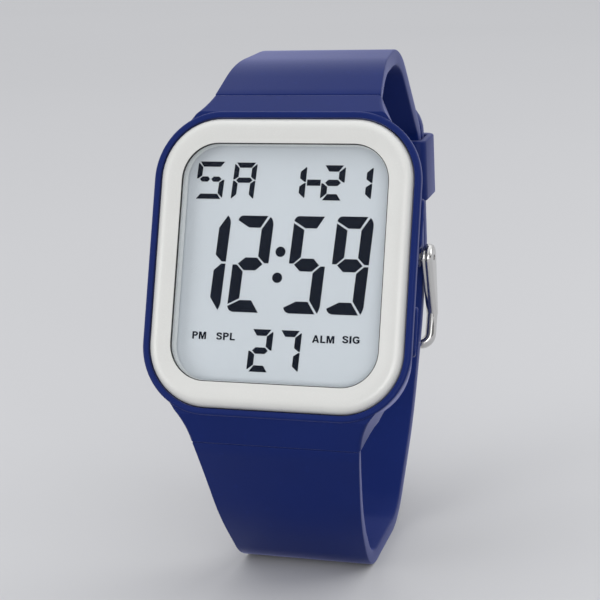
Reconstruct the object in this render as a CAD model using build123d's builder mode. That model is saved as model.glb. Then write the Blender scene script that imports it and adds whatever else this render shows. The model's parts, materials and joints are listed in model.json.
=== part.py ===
from build123d import *

import os
from math import atan2, cos, degrees, radians, sin, tan

# Digital wristwatch with a rectangular resin case, standing on its closed strap.
# Every piece is modelled as the wearer sees the face: X runs to three o'clock,
# Y runs from the face towards the wrist and Z runs to twelve o'clock, with the
# origin at the middle of the bezel's front. At the end the whole watch is leaned
# back, as it stands on its strap, and its lowest face is put at Z = 0.
# All lengths are millimetres.

# Stand
lean_angle = 20.0                # how far the face leans back from upright, degrees

# Window and bezel
window_width = 28.7
window_height = 32.0
window_corner = 5.0
bezel_side_border = 3.15         # bezel's visible width beside the window
bezel_end_border = 3.45          # and above and below it
bezel_corner_grow = 3.3          # bezel's corner radius over the window's
bezel_thickness = 1.75
bezel_outer_round = 1.3
bezel_inner_round = 0.22

# Lens and its gasket
lens_sink = 0.25                 # lens face behind the bezel's front
lens_thickness = 1.1
lens_flange = 0.6                # thickness of the edge that the bezel traps
lens_flange_reach = 1.95         # how far the flange runs under the bezel
lens_gap = 0.05
gasket_width = 0.8

# Case
rim_width = 0.88                 # thin lip round the bezel
bezel_gap = 0.12
rim_sink = 0.55                  # lip behind the bezel's front
rim_round = 0.4
rim_inner_round = 0.15
band_width = 1.0                 # straight part of the side behind the lip
side_draft = 1.85                # how much each side draws in towards the wrist
end_draft = 0.6
case_back_corner = 8.0
cavity_gap = 0.15

# Shoulders and seams
seam_depth_upper = 3.4
seam_rise_upper = 2.75           # upper seam beyond the case's lip
seam_depth_lower = 3.7
seam_rise_lower = 3.65
seam_thickness = 3.4
seam_half_width = 11.75
seam_gap = 0.05
shoulder_round = 0.5             # along the shoulder's side edges
shoulder_step = 0.5              # shoulder's start behind the lip's front
shoulder_reach_in = 4.0          # how far the shoulder runs into the case wall
flare_radius = 12.0
flare_side_inset = 3.2           # flare's start at the front, in from the case's side
flare_end_inset = 2.45           # and from its end
flare_foot_draft = 1.75          # how far the flare's start draws in at the rear

# Spring bars
bar_setback = 1.14               # bar behind the seam, along the strap
bar_sink = 3.36                  # bar below the strap's outer face
bar_radius = 0.7
bar_bore_radius = 0.5
bar_hole_gap = 0.05
tip_gap = 0.1                    # round a tip in the tube's bore
tip_collar_gap = 0.04
tip_collar_length = 0.5
tip_engagement = 1.4             # how far a tip goes into its hole
tip_shank = 1.2                  # part of a tip that stays inside the tube
bar_end_gap = 0.1
bar_spring_wire = 0.07
bar_spring_turns = 9
knuckle_radius = 1.6
knuckle_half_width = 6.5
knuckle_blend = 4.5              # where the knuckle runs out under the strap
pocket_gap = 0.15

# Straps
strap_thickness = 2.2
tail_thickness = 2.0
lap_gap = 0.1                    # between the two straps where they lie together
strap_half_width = 9.0           # at the buckle
strap_mid_half_width = 9.75      # where the curved taper turns straight
strap_mid_depth = 19.0
strap_waist_half_width = 10.5
strap_waist_depth = 11.2
loop_depth = 49.3                # bezel's front to the strap's outer face at the back
loop_rise = 11.4                 # upper seam to the outline's highest corner
loop_drop = 16.5                 # lower seam to the outline's lowest corner
short_corner_shares = [(0.1643, 0.5), (0.4158, 1.0)]
short_corner_radii = [14.0, 12.0, 5.0]
long_corner_shares = [(0.2637, 0.624), (0.453, 1.0)]
rest_end_share = 0.8114          # depth where the flat rest turns up
rear_corner_shares = [(0.9452, -0.7676), (1.0, -0.1245), (1.0, 0.3942)]
long_corner_radii = [30.0, 8.0, 10.0, 40.0, 60.0]
tail_bend_radius = 8.0           # where the tail turns into the lap
lap_angle = 22.8                 # the lapped straps lean in, degrees off upright
lap_bend = 19.15                 # buckle end of the lap to the short strap's bend
tail_length = 23.9               # buckle end of the lap to the tail's tip
tail_tip_round = 5.5

# Holes for the tongue
hole_length = 3.9
hole_width = 2.2
hole_pitch = 6.5
holes_above_buckle = 2
holes_below_buckle = 5

# Keeper
keeper_width = 9.4
keeper_wall = 1.5
keeper_side_wall = 1.1
keeper_gap = 0.3
keeper_drop = 6.05               # middle of the keeper below the short strap's bend
keeper_round = 0.6

# Buckle
buckle_bar_drop = 2.5            # buckle bar below the lap's buckle end
wrap_radius = 1.6
lug_radius = 2.1
arm_radius = 1.05
buckle_half_width = 11.0
buckle_side_gap = 0.3
elbow_reach = 1.1                # elbow's middle outside the strap's outer face
elbow_drop = 8.2                 # elbow's middle below the buckle bar
crossbar_drop = 13.3             # crossbar's middle below the buckle bar
crossbar_reach = 0.7             # crossbar's middle outside the strap's outer face
buckle_corner = 2.6
tongue_width = 1.5
tongue_radius = 0.5
tongue_angle = 38.0              # how steeply the tongue leaves the bar, degrees
tongue_rise = 1.3                # the tongue's knee outside the strap's outer face
tongue_overhang = 1.4            # how far the tongue runs past the crossbar
tongue_rest_gap = 0.12
sleeve_radius = 1.3
sleeve_slot_gap = 0.3

# Display
display_margin = 0.75            # glass beyond the window on each side
display_corner = 4.6
display_gap = 0.1                # behind the lens
film_thickness = 0.15
glass_thickness = 0.5
segment_thickness = 0.04

# Display figures: cell height and width, stroke and lean
time_height = 13.0
time_cell = 5.0
time_stroke = 1.56
time_base = -6.62
time_cells = [-10.2, -4.15, 3.6, 9.4]
time_text = ["1", "2", "5", "9"]
colon_x = -0.35
colon_height = 1.72
colon_radius = 0.75
date_height = 4.65
date_cell = 2.85
date_stroke = 0.84
date_base = 8.6
date_cells = [1.3, 6.5, 10.3]
date_text = ["1", "2", "1"]
dash_x = 3.85
dash_length = 1.8
dash_stroke = 0.7
day_height = 4.95
day_cell = 3.55
day_stroke = 0.86
day_base = 8.55
day_cells = [-10.75, -5.95]
day_text = ["S", "A"]
seconds_height = 5.45
seconds_cell = 2.8
seconds_stroke = 0.92
seconds_base = -14.3
seconds_cells = [-2.1, 1.9]
seconds_text = ["2", "7"]
segment_gap = 0.16
figure_slant = 4.0               # degrees
chamfer_share = 0.36             # a segment's cut corner, as a share of its stroke

# Module
module_wall = 1.4
frame_floor = 0.3                # rear rim that bridges the button notches
sheet_gap = 0.25                 # between the battery's clamp and the insulating sheet
buzzer_room = 1.0                # between the module and the case's rear face
guide_thickness = 0.8
guide_gap = 0.05
guide_side_gap = 1.3             # room for the diode beside the guide
guide_end_gap = 2.15             # room for the connector strips
board_room = 2.5                 # from the display's rear to the board
board_thickness = 0.8
board_gap = 0.2
zebra_width = 1.3
zebra_end_gap = 1.9
zebra_inset = 0.3
diode_width = 0.8
diode_height = 2.4
chip_radius = 3.8
chip_height = 1.2
chip_dome_share = 0.8            # rounded part of the chip cover's height
battery_radius = 10.0
battery_thickness = 1.6
battery_height = 3.4             # battery's middle above the face's middle
battery_lift = 0.2               # contact strip between battery and board
contact_width = 3.0
contact_length = 14.0
clamp_thickness = 0.2
clamp_width = 4.0
clamp_gap = 0.05
clamp_foot = 1.0
crystal_radius = 0.95
crystal_length = 6.0
crystal_end_gap = 5.55           # crystal's middle from the board's lower edge
crystal_side_gap = 5.9           # and from its left edge
capacitor_size = 0.9
capacitor_length = 1.6
capacitor_pitch = 2.6
capacitor_end_gap = 2.55         # capacitors' middle from the board's lower edge
insulator_thickness = 0.1
buzzer_radius = 8.6
buzzer_thickness = 0.25
buzzer_height = -5.6
buzzer_spring_x = 4.2
buzzer_spring_height = -11.6
buzzer_spring_radius = 0.8
buzzer_spring_wire = 0.12
buzzer_spring_turns = 5
buzzer_seat_gap = 0.03
strip_thickness = 0.15
strip_width = 2.2
strip_rise = 2.2                 # contact strip's height off the board

# Case back
back_plate_thickness = 0.8
back_plate_inset = 0.35
back_plate_corner = 7.6
back_gasket_width = 0.6
back_gasket_depth = 0.4
back_gasket_inset = 0.2
screw_side_gap = 6.25            # screw's middle in from the cavity's side
screw_wall = 1.45                # screw's middle beyond the cavity's end
screw_radius = 0.45
screw_head_radius = 0.85
screw_head_thickness = 0.45
screw_length = 3.0
screw_slot_width = 0.25
screw_slot_depth = 0.2
screw_gap = 0.03

# Buttons
button_length = 6.5
button_width = 2.4
button_round = 1.1
button_proud = 0.42
button_thickness = 0.95
button_depth = 4.0               # middle of the button behind the bezel's front
button_upper_height = 6.2
button_lower_height = -8.05
button_travel = 0.5
button_gap = 0.15
button_edge_round = 0.25
stem_radius = 0.75
stem_gap = 0.05
stem_reach = 1.2                 # how far the stem stands into the case
spring_room = 0.9                # between the button's underside and its recess floor
spring_wire = 0.1
spring_bore_gap = 0.18           # between the stem and the coil's wire
spring_turns = 2
spring_seat_gap = 0.02
clip_width = 0.35
clip_thickness = 0.2
clip_gap = 0.12
seal_width = 0.45
seal_thickness = 0.4
seal_inset = 0.3
notch_length = 4.4
notch_depth = 1.5

# Cutting tools run past the faces they cut
overrun = 1.0

# Values that follow from the sizes above

bezel_width = window_width + 2 * bezel_side_border
bezel_height = window_height + 2 * bezel_end_border
bezel_corner = window_corner + bezel_corner_grow
rim_half_width = bezel_width / 2 + bezel_gap + rim_width
rim_half_height = bezel_height / 2 + bezel_gap + rim_width
case_width = 2 * rim_half_width
case_height = 2 * rim_half_height
case_corner = bezel_corner + bezel_gap + rim_width
display_width = window_width + 2 * display_margin
display_height = window_height + 2 * display_margin
cavity_half_width = display_width / 2 + cavity_gap
cavity_half_height = display_height / 2 + cavity_gap
cavity_corner = display_corner + cavity_gap
lens_back = lens_sink + lens_thickness
flange_front = lens_back - lens_flange
tip_radius = bar_bore_radius - tip_gap
tip_collar_radius = bar_bore_radius - tip_collar_gap

# Layers from the lens to the case back, each behind the one before
film_front = lens_back + display_gap
front_glass_front = film_front + film_thickness
segment_front = front_glass_front + glass_thickness
rear_glass_front = segment_front + segment_thickness
rear_film_front = rear_glass_front + glass_thickness
display_back = rear_film_front + film_thickness
board_depth = display_back + board_room
board_back = board_depth + board_thickness
battery_back = board_back + battery_lift + battery_thickness
module_depth = battery_back + clamp_gap + clamp_thickness + sheet_gap
case_depth = module_depth + buzzer_room
band_end = rim_sink + band_width

lap_radians = radians(lap_angle)
lap_up = (-sin(lap_radians), cos(lap_radians))
lap_out = (cos(lap_radians), sin(lap_radians))


# Seams, as depth behind the bezel's front and height above the face's middle
seam_upper = (seam_depth_upper, rim_half_height + seam_rise_upper)
seam_lower = (seam_depth_lower, -rim_half_height - seam_rise_lower)
short_corners = [
    (across * loop_depth, seam_upper[1] + up * loop_rise) for across, up in short_corner_shares
]
long_corners = [
    (across * loop_depth, seam_lower[1] - down * loop_drop) for across, down in long_corner_shares
]
rear_corners = [
    (across * loop_depth, -up * seam_lower[1]) for across, up in rear_corner_shares
]


def on_lap(along, outward):
    """A point of the lapped straps, from the lap's buckle end at the tail's outer face."""
    corner = rear_corners[-1]
    return (
        corner[0] + along * lap_up[0] + outward * lap_out[0],
        corner[1] + along * lap_up[1] + outward * lap_out[1],
    )


# Outer line of the short strap goes on from its corners to its bend into the lap
lap_offset = tail_thickness + lap_gap
short_corners.append(on_lap(lap_bend, -lap_offset))
short_corners.append(on_lap(lap_offset * tan(lap_radians / 2), -lap_offset))

# Outer line of the long strap goes on along its flat rest and up to its tip
rest_end_depth = rest_end_share * loop_depth
rest_start = long_corners[-1]
rest_slope = tan(radians(lean_angle))
rest_run = rest_end_depth - rest_start[0]
long_corners.append((rest_end_depth, rest_start[1] + rest_slope * rest_run))
long_corners += rear_corners
tail_tip = on_lap(tail_length, 0)

# Buckle bar, just inside the tail
tail_outer = loop_depth
bar_depth = tail_outer - lap_offset - wrap_radius
buckle_bar = (bar_depth, rear_corners[-1][1] - buckle_bar_drop)


def heading(start, end):
    """Unit direction from one point of the side view to another."""
    angle = atan2(end[1] - start[1], end[0] - start[0])
    return (cos(angle), sin(angle))


seams = {1: seam_upper, -1: seam_lower}
headings = {
    1: heading(seam_upper, short_corners[0]),
    -1: heading(seam_lower, long_corners[0]),
}


def seam_point(end, along, sink):
    """Depth and height of a point given along the strap from its seam and below its face."""
    run = headings[end]
    inward = (abs(run[1]), -end * abs(run[0]))
    start = seams[end]
    return (
        start[0] + along * run[0] + sink * inward[0],
        start[1] + along * run[1] + sink * inward[1],
    )


def at_depth(depth):
    """Plane across the watch at a depth behind the bezel's front, seen from the face."""
    return Plane.XZ.offset(-depth)


def across(point):
    """Middle of a cylinder that lies along X, as a location."""
    return Location((0, point[0], point[1]), (0, 90, 0))


pieces = {}


# Bezel ring, with a rebate behind for the lens flange
with BuildPart() as bezel:
    with BuildSketch(at_depth(bezel_thickness)):
        RectangleRounded(bezel_width, bezel_height, bezel_corner)
    extrude(amount=bezel_thickness)
    front_edges = bezel.faces().sort_by(Axis.Y)[0].edges()
    fillet(front_edges, radius=bezel_outer_round)
    with BuildSketch(at_depth(bezel_thickness)):
        RectangleRounded(window_width, window_height, window_corner)
    extrude(amount=bezel_thickness, mode=Mode.SUBTRACT)
    window_edges = bezel.faces().sort_by(Axis.Y)[0].inner_wires()[0].edges()
    fillet(window_edges, radius=bezel_inner_round)
    with BuildSketch(at_depth(bezel_thickness)):
        RectangleRounded(
            window_width + 2 * (lens_flange_reach + lens_gap),
            window_height + 2 * (lens_flange_reach + lens_gap),
            window_corner + lens_flange_reach + lens_gap,
        )
    extrude(amount=bezel_thickness - flange_front + lens_gap, mode=Mode.SUBTRACT)
pieces["bezel"] = bezel

# Lens: a plate in the window and a flange behind the bezel
with BuildPart() as lens:
    with BuildSketch(at_depth(lens_back)):
        RectangleRounded(
            window_width + 2 * lens_flange_reach,
            window_height + 2 * lens_flange_reach,
            window_corner + lens_flange_reach,
        )
    extrude(amount=lens_flange)
    with BuildSketch(at_depth(flange_front)):
        RectangleRounded(
            window_width - 2 * lens_gap, window_height - 2 * lens_gap, window_corner - lens_gap
        )
    extrude(amount=flange_front - lens_sink)
pieces["lens"] = lens

# Gasket between the lens flange and the case's ledge
with BuildPart() as lens_gasket:
    with BuildSketch(at_depth(bezel_thickness)):
        RectangleRounded(
            window_width + 2 * lens_flange_reach,
            window_height + 2 * lens_flange_reach,
            window_corner + lens_flange_reach,
        )
        RectangleRounded(
            window_width + 2 * (lens_flange_reach - gasket_width),
            window_height + 2 * (lens_flange_reach - gasket_width),
            display_corner,
            mode=Mode.SUBTRACT,
        )
    extrude(amount=bezel_thickness - lens_back)
pieces["lens_gasket"] = lens_gasket


# Half-width of the case's side wall at a depth
def side_half_width(depth):
    """The side draws in evenly from the lip's band to the rear face."""
    return rim_half_width - side_draft * (depth - band_end) / (case_depth - band_end)


# Solid shoulders that carry the straps
shoulder_start = rim_sink + shoulder_step
shoulders = {}
for end in (1, -1):
    seam = seams[end]
    root_height = end * (rim_half_height - shoulder_reach_in)
    with BuildPart() as shoulder:
        front_foot_x = rim_half_width - flare_side_inset
        for depth, foot_x in ((0, front_foot_x), (case_depth, front_foot_x - flare_foot_draft)):
            with BuildSketch(at_depth(depth)):
                with BuildLine():
                    foot = (foot_x, end * (rim_half_height - flare_end_inset))
                    top = (seam_half_width, seam[1])
                    root = (foot_x, root_height)
                    RadiusArc(foot, top, end * flare_radius)
                    Line(foot, root)
                    Line(root, (0, root_height))
                    Line(top, (0, top[1]))
                    mirror(about=Plane.YZ)
                make_face()
        loft(ruled=True)
        inner = seam_point(end, 0, seam_thickness)
        hollow = seam_point(end, 0, bar_sink + knuckle_radius + pocket_gap)
        wall_height = end * (rim_half_height - end_draft)
        with BuildSketch(Plane.YZ):
            with BuildLine():
                Polyline(
                    (shoulder_start, root_height),
                    (shoulder_start, end * rim_half_height),
                    seam,
                    inner,
                    hollow,
                    (case_depth, wall_height),
                    (case_depth, root_height),
                    close=True,
                )
            make_face()
        extrude(amount=rim_half_width, both=True, mode=Mode.INTERSECT)
        # round the two edges between the sloping front and the flared sides
        slope_middle = (0, (shoulder_start + seam[0]) / 2, (end * rim_half_height + seam[1]) / 2)
        slope = shoulder.faces().sort_by_distance(slope_middle)[0]
        fillet(slope.edges().filter_by(Axis.X, reverse=True), radius=shoulder_round)
    shoulders[end] = shoulder.part

button_places = {
    "upper_right": (1, button_upper_height),
    "lower_right": (1, button_lower_height),
    "upper_left": (-1, button_upper_height),
    "lower_left": (-1, button_lower_height),
}
button_face = side_half_width(button_depth) + button_proud
button_seat = button_face - button_thickness
recess_floor = button_seat - spring_room
stem_end = cavity_half_width - stem_reach
seal_x = cavity_half_width + seal_inset + seal_width / 2
seal_radius = stem_radius + stem_gap + seal_thickness
screw_x = cavity_half_width - screw_side_gap
screw_height = cavity_half_height + screw_wall

# Case: the tapering barrel, its shoulders, and all that is cut into them
with BuildPart() as case:
    with BuildSketch(at_depth(band_end)):
        RectangleRounded(case_width, case_height, case_corner)
    extrude(amount=band_width)
    with BuildSketch(at_depth(band_end)):
        RectangleRounded(case_width, case_height, case_corner)
    with BuildSketch(at_depth(case_depth)):
        RectangleRounded(
            case_width - 2 * side_draft, case_height - 2 * end_draft, case_back_corner
        )
    loft()
    fillet(case.faces().sort_by(Axis.Y)[0].edges(), radius=rim_round)
    for end in (1, -1):
        add(shoulders[end])
    # seat of the bezel
    with BuildSketch(at_depth(bezel_thickness)):
        RectangleRounded(
            bezel_width + 2 * bezel_gap, bezel_height + 2 * bezel_gap, bezel_corner + bezel_gap
        )
    extrude(amount=bezel_thickness, mode=Mode.SUBTRACT)
    fillet(case.faces().sort_by(Axis.Y)[0].inner_wires()[0].edges(), radius=rim_inner_round)
    # cavity of the module
    with BuildSketch(at_depth(case_depth)):
        RectangleRounded(2 * cavity_half_width, 2 * cavity_half_height, cavity_corner)
    extrude(amount=case_depth, mode=Mode.SUBTRACT)
    # groove of the rear gasket
    with BuildSketch(at_depth(case_depth)):
        RectangleRounded(
            2 * (cavity_half_width + back_gasket_inset + back_gasket_width),
            2 * (cavity_half_height + back_gasket_inset + back_gasket_width),
            cavity_corner + back_gasket_inset + back_gasket_width,
        )
        RectangleRounded(
            2 * (cavity_half_width + back_gasket_inset),
            2 * (cavity_half_height + back_gasket_inset),
            cavity_corner + back_gasket_inset,
            mode=Mode.SUBTRACT,
        )
    extrude(amount=back_gasket_depth, mode=Mode.SUBTRACT)
    # blind holes of the four rear screws
    with BuildSketch(at_depth(case_depth)):
        with GridLocations(2 * screw_x, 2 * screw_height, 2, 2):
            Circle(screw_radius + screw_gap)
    extrude(amount=screw_length, mode=Mode.SUBTRACT)
    # pockets and bar holes of the two strap knuckles
    for end in (1, -1):
        bar = seam_point(end, -bar_setback, bar_sink)
        pocket_radius = knuckle_radius + pocket_gap
        with BuildSketch(Plane.YZ):
            with Locations(bar):
                Circle(pocket_radius)
            with BuildLine():
                Polyline(
                    seam_point(end, -bar_setback, bar_sink - pocket_radius),
                    seam_point(end, overrun, bar_sink - pocket_radius),
                    seam_point(end, overrun, bar_sink + pocket_radius),
                    seam_point(end, -bar_setback, bar_sink + pocket_radius),
                    close=True,
                )
            make_face()
        extrude(amount=knuckle_half_width + pocket_gap, both=True, mode=Mode.SUBTRACT)
        with Locations(across(bar)):
            Cylinder(
                tip_radius + bar_hole_gap,
                2 * (knuckle_half_width + pocket_gap + tip_engagement + bar_end_gap),
                mode=Mode.SUBTRACT,
            )
    # recess, stem bore and seal groove of each button
    for side, height in button_places.values():
        with BuildSketch(Plane.YZ.offset(side * recess_floor)):
            with Locations((button_depth, height)):
                RectangleRounded(
                    button_width + 2 * button_gap,
                    button_length + 2 * button_gap,
                    button_round + button_gap,
                )
        extrude(amount=side * (rim_half_width + overrun - recess_floor), mode=Mode.SUBTRACT)
        with BuildSketch(Plane.YZ.offset(side * (cavity_half_width - overrun))):
            with Locations((button_depth, height)):
                Circle(stem_radius + stem_gap)
        extrude(amount=side * (recess_floor - cavity_half_width + overrun), mode=Mode.SUBTRACT)
        with BuildSketch(Plane.YZ.offset(side * (seal_x - seal_width / 2))):
            with Locations((button_depth, height)):
                Circle(seal_radius)
        extrude(amount=side * seal_width, mode=Mode.SUBTRACT)
pieces["case"] = case

# Buttons with their stems, springs, clips and seals
for place, (side, height) in button_places.items():
    top_depth = button_depth - button_width / 2
    low_depth = button_depth + button_width / 2
    with BuildPart() as button:
        with BuildSketch(Plane.YZ.offset(side * button_seat)):
            with Locations((button_depth, height)):
                RectangleRounded(button_width, button_length, button_round)
        extrude(amount=side * (rim_half_width + overrun - button_seat))
        with BuildSketch(Plane.XY.offset(height)):
            with BuildLine():
                Polyline(
                    (side * button_seat, top_depth),
                    (side * (side_half_width(top_depth) + button_proud), top_depth),
                    (side * (side_half_width(low_depth) + button_proud), low_depth),
                    (side * button_seat, low_depth),
                    close=True,
                )
            make_face()
        extrude(amount=button_length, both=True, mode=Mode.INTERSECT)
        outer_face = button.faces().sort_by(Axis.X)[-1 if side > 0 else 0]
        fillet(outer_face.edges(), radius=button_edge_round)
        with BuildSketch(Plane.YZ.offset(side * stem_end)):
            with Locations((button_depth, height)):
                Circle(stem_radius)
        extrude(amount=side * (button_seat - stem_end))
    pieces["button_" + place] = button

    with BuildPart() as button_spring:
        spring_start = side * (recess_floor + spring_seat_gap + spring_wire)
        spring_height = spring_room - 2 * (spring_seat_gap + spring_wire)
        with BuildLine() as coil:
            Helix(
                spring_height / spring_turns,
                spring_height,
                stem_radius + spring_bore_gap + spring_wire,
                center=(spring_start, button_depth, height),
                direction=(side, 0, 0),
            )
        with BuildSketch(Plane(origin=coil.line @ 0, z_dir=coil.line % 0)):
            Circle(spring_wire)
        sweep(path=coil.line, is_frenet=True)
    pieces["button_spring_" + place] = button_spring

    with BuildPart() as button_clip:
        clip_x = cavity_half_width - clip_gap - clip_thickness
        with BuildSketch(Plane.YZ.offset(side * clip_x)):
            with Locations((button_depth, height)):
                Circle(stem_radius + clip_width)
                Circle(stem_radius, mode=Mode.SUBTRACT)
        extrude(amount=side * clip_thickness)
    pieces["button_clip_" + place] = button_clip

with BuildPart() as button_seals:
    for side, height in button_places.values():
        with BuildSketch(Plane.YZ.offset(side * (seal_x - seal_width / 2))):
            with Locations((button_depth, height)):
                Circle(seal_radius)
                Circle(stem_radius + stem_gap, mode=Mode.SUBTRACT)
        extrude(amount=side * seal_width)
pieces["button_seals"] = button_seals

# Display: film, glass, dark segments, glass, film
display_layers = {
    "display_front_film": (film_front, film_thickness),
    "display_front_glass": (front_glass_front, glass_thickness),
    "display_rear_glass": (rear_glass_front, glass_thickness),
    "display_rear_film": (rear_film_front, film_thickness),
}
for label, (front, thickness) in display_layers.items():
    with BuildPart() as layer:
        with BuildSketch(at_depth(front + thickness)):
            RectangleRounded(display_width, display_height, display_corner)
        extrude(amount=thickness)
    pieces[label] = layer

# Which segments light for each figure: a is the top, then clockwise to f, g is the middle
segments_lit = {"1": "bc", "2": "abdeg", "5": "acdfg", "9": "abcdfg", "7": "abc",
                "S": "acdfg", "A": "abcefg"}


def segment_outlines(lit, middle, base, height, cell, stroke):
    """Corner points of each lit segment of one leaning figure."""
    half = cell / 2
    centre = height / 2
    cut = chamfer_share * stroke
    gap = segment_gap / 2
    inner = half - stroke
    bar = stroke / 2
    shapes = {
        "a": [(-half + cut + gap, height), (half - cut - gap, height),
              (inner - gap, height - stroke), (-inner + gap, height - stroke)],
        "d": [(-half + cut + gap, 0), (half - cut - gap, 0),
              (inner - gap, stroke), (-inner + gap, stroke)],
        "g": [(-half + bar + gap, centre), (-inner + gap, centre + bar), (inner - gap, centre + bar),
              (half - bar - gap, centre), (inner - gap, centre - bar), (-inner + gap, centre - bar)],
        "b": [(half - cut + gap, height), (half, height - cut), (half, centre + gap),
              (half - bar, centre + gap), (inner, centre + bar + gap), (inner, height - stroke + gap)],
    }
    shapes["f"] = [(-x, z) for x, z in shapes["b"]]
    shapes["c"] = [(x, height - z) for x, z in shapes["b"]]
    shapes["e"] = [(-x, height - z) for x, z in shapes["b"]]
    lean = tan(radians(figure_slant))
    return [
        [(middle + x + lean * (z - centre), base + z) for x, z in shapes[name]] for name in lit
    ]


figure_groups = {
    "time_digits": [(time_text, time_cells, time_base, time_height, time_cell, time_stroke)],
    "date_digits": [(date_text, date_cells, date_base, date_height, date_cell, date_stroke),
                    (day_text, day_cells, day_base, day_height, day_cell, day_stroke)],
    "seconds_digits": [(seconds_text, seconds_cells, seconds_base, seconds_height, seconds_cell,
                        seconds_stroke)],
}
for label, rows in figure_groups.items():
    with BuildPart() as figures:
        with BuildSketch(at_depth(rear_glass_front)):
            for text, cells, base, height, cell, stroke in rows:
                for figure, middle in zip(text, cells):
                    for outline in segment_outlines(
                        segments_lit[figure], middle, base, height, cell, stroke
                    ):
                        Polygon(*outline, align=None)
            if label == "time_digits":
                with Locations((colon_x, colon_height), (colon_x, -colon_height)):
                    Circle(colon_radius)
            if label == "date_digits":
                with Locations((dash_x, date_base + date_height / 2)):
                    Rectangle(dash_length, dash_stroke)
        extrude(amount=segment_thickness)
    pieces[label] = figures

# Module frame: a ring behind the display, notched where the button stems come in
with BuildPart() as module_frame:
    with BuildSketch(at_depth(module_depth)):
        RectangleRounded(display_width, display_height, display_corner)
        RectangleRounded(
            display_width - 2 * module_wall,
            display_height - 2 * module_wall,
            display_corner - module_wall,
            mode=Mode.SUBTRACT,
        )
        for side, height in button_places.values():
            with Locations((side * display_width / 2, height)):
                Rectangle(2 * notch_depth, notch_length, mode=Mode.SUBTRACT)
    extrude(amount=module_depth - display_back)
    # thin floor that keeps the ring in one piece behind the notches
    with BuildSketch(at_depth(module_depth)):
        RectangleRounded(display_width, display_height, display_corner)
        RectangleRounded(
            display_width - 2 * (notch_depth + module_wall),
            display_height - 2 * module_wall,
            display_corner - module_wall,
            mode=Mode.SUBTRACT,
        )
    extrude(amount=frame_floor)
pieces["module_frame"] = module_frame

inner_half_width = display_width / 2 - module_wall
inner_half_height = display_height / 2 - module_wall

guide_width = 2 * (inner_half_width - guide_side_gap)
guide_height = 2 * (inner_half_height - guide_end_gap)
with BuildPart() as light_guide:
    with BuildSketch(at_depth(display_back + guide_gap + guide_thickness)):
        Rectangle(guide_width, guide_height)
    extrude(amount=guide_thickness)
pieces["light_guide"] = light_guide

board_half_width = inner_half_width - board_gap
board_half_height = inner_half_height - board_gap
with BuildPart() as circuit_board:
    with BuildSketch(at_depth(board_depth + board_thickness)):
        RectangleRounded(
            2 * board_half_width, 2 * board_half_height, display_corner - module_wall
        )
    extrude(amount=board_thickness)
pieces["circuit_board"] = circuit_board

with BuildPart() as light_diode:
    with BuildSketch(at_depth(board_depth)):
        with Locations((-(guide_width + diode_width) / 2 - guide_gap, 0)):
            Rectangle(diode_width, diode_height)
    extrude(amount=board_depth - display_back - guide_gap)
pieces["light_diode"] = light_diode

with BuildPart() as zebra_strips:
    with BuildSketch(at_depth(board_depth)):
        zebra_height = guide_height / 2 + zebra_inset + zebra_width / 2
        with Locations((0, zebra_height), (0, -zebra_height)):
            Rectangle(2 * (inner_half_width - zebra_end_gap), zebra_width)
    extrude(amount=board_depth - display_back)
pieces["zebra_strips"] = zebra_strips

# Epoxy cover of the chip, a low dome on the board's front
with BuildPart() as chip_cover:
    with BuildSketch(at_depth(board_depth)):
        Circle(chip_radius)
    extrude(amount=chip_height)
    fillet(chip_cover.faces().sort_by(Axis.Y)[0].edges(), radius=chip_dome_share * chip_height)
pieces["chip_cover"] = chip_cover

with BuildPart() as contact_strips:
    for side, height in button_places.values():
        strip_x = stem_end - button_travel - strip_thickness
        with BuildSketch(at_depth(board_depth)):
            with Locations((side * (strip_x - strip_thickness / 2), height)):
                Rectangle(strip_thickness, strip_width)
        extrude(amount=strip_rise)
pieces["contact_strips"] = contact_strips

with BuildPart() as battery_contact:
    with BuildSketch(at_depth(board_back + battery_lift)):
        with Locations((0, battery_height)):
            Rectangle(contact_length, contact_width)
    extrude(amount=battery_lift)
pieces["battery_contact"] = battery_contact

with BuildPart() as battery:
    with BuildSketch(at_depth(battery_back)):
        with Locations((0, battery_height)):
            Circle(battery_radius)
    extrude(amount=battery_thickness)
    fillet(battery.edges().filter_by(GeomType.CIRCLE), radius=battery_lift)
pieces["battery"] = battery

clamp_half = battery_radius + clamp_gap + clamp_thickness
with BuildPart() as battery_clamp:
    with BuildSketch(at_depth(battery_back + clamp_gap + clamp_thickness)):
        with Locations((0, battery_height)):
            Rectangle(2 * clamp_half, clamp_width)
    extrude(amount=clamp_thickness)
    with BuildSketch(at_depth(battery_back + clamp_gap)):
        leg_x = clamp_half - clamp_thickness / 2
        with Locations((leg_x, battery_height), (-leg_x, battery_height)):
            Rectangle(clamp_thickness, clamp_width)
    extrude(amount=battery_back + clamp_gap - board_back)
    with BuildSketch(at_depth(board_back + clamp_thickness)):
        foot_x = clamp_half + clamp_foot / 2 - clamp_thickness / 2
        with Locations((foot_x, battery_height), (-foot_x, battery_height)):
            Rectangle(clamp_foot + clamp_thickness, clamp_width)
    extrude(amount=clamp_thickness)
pieces["battery_clamp"] = battery_clamp

crystal_x = crystal_side_gap - board_half_width
crystal_height = crystal_end_gap - board_half_height
with BuildPart() as quartz_crystal:
    crystal_y = board_back + crystal_radius
    with Locations(Location((crystal_x, crystal_y, crystal_height), (0, 90, 0))):
        Cylinder(crystal_radius, crystal_length)
pieces["quartz_crystal"] = quartz_crystal

capacitor_height = capacitor_end_gap - board_half_height
with BuildPart() as capacitors:
    with BuildSketch(at_depth(board_back + capacitor_size)):
        with Locations(*[(crystal_x + step * capacitor_pitch, capacitor_height)
                         for step in (-0.5, 0.5, 1.5)]):
            Rectangle(capacitor_length, capacitor_size)
    extrude(amount=capacitor_size)
pieces["capacitors"] = capacitors

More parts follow.
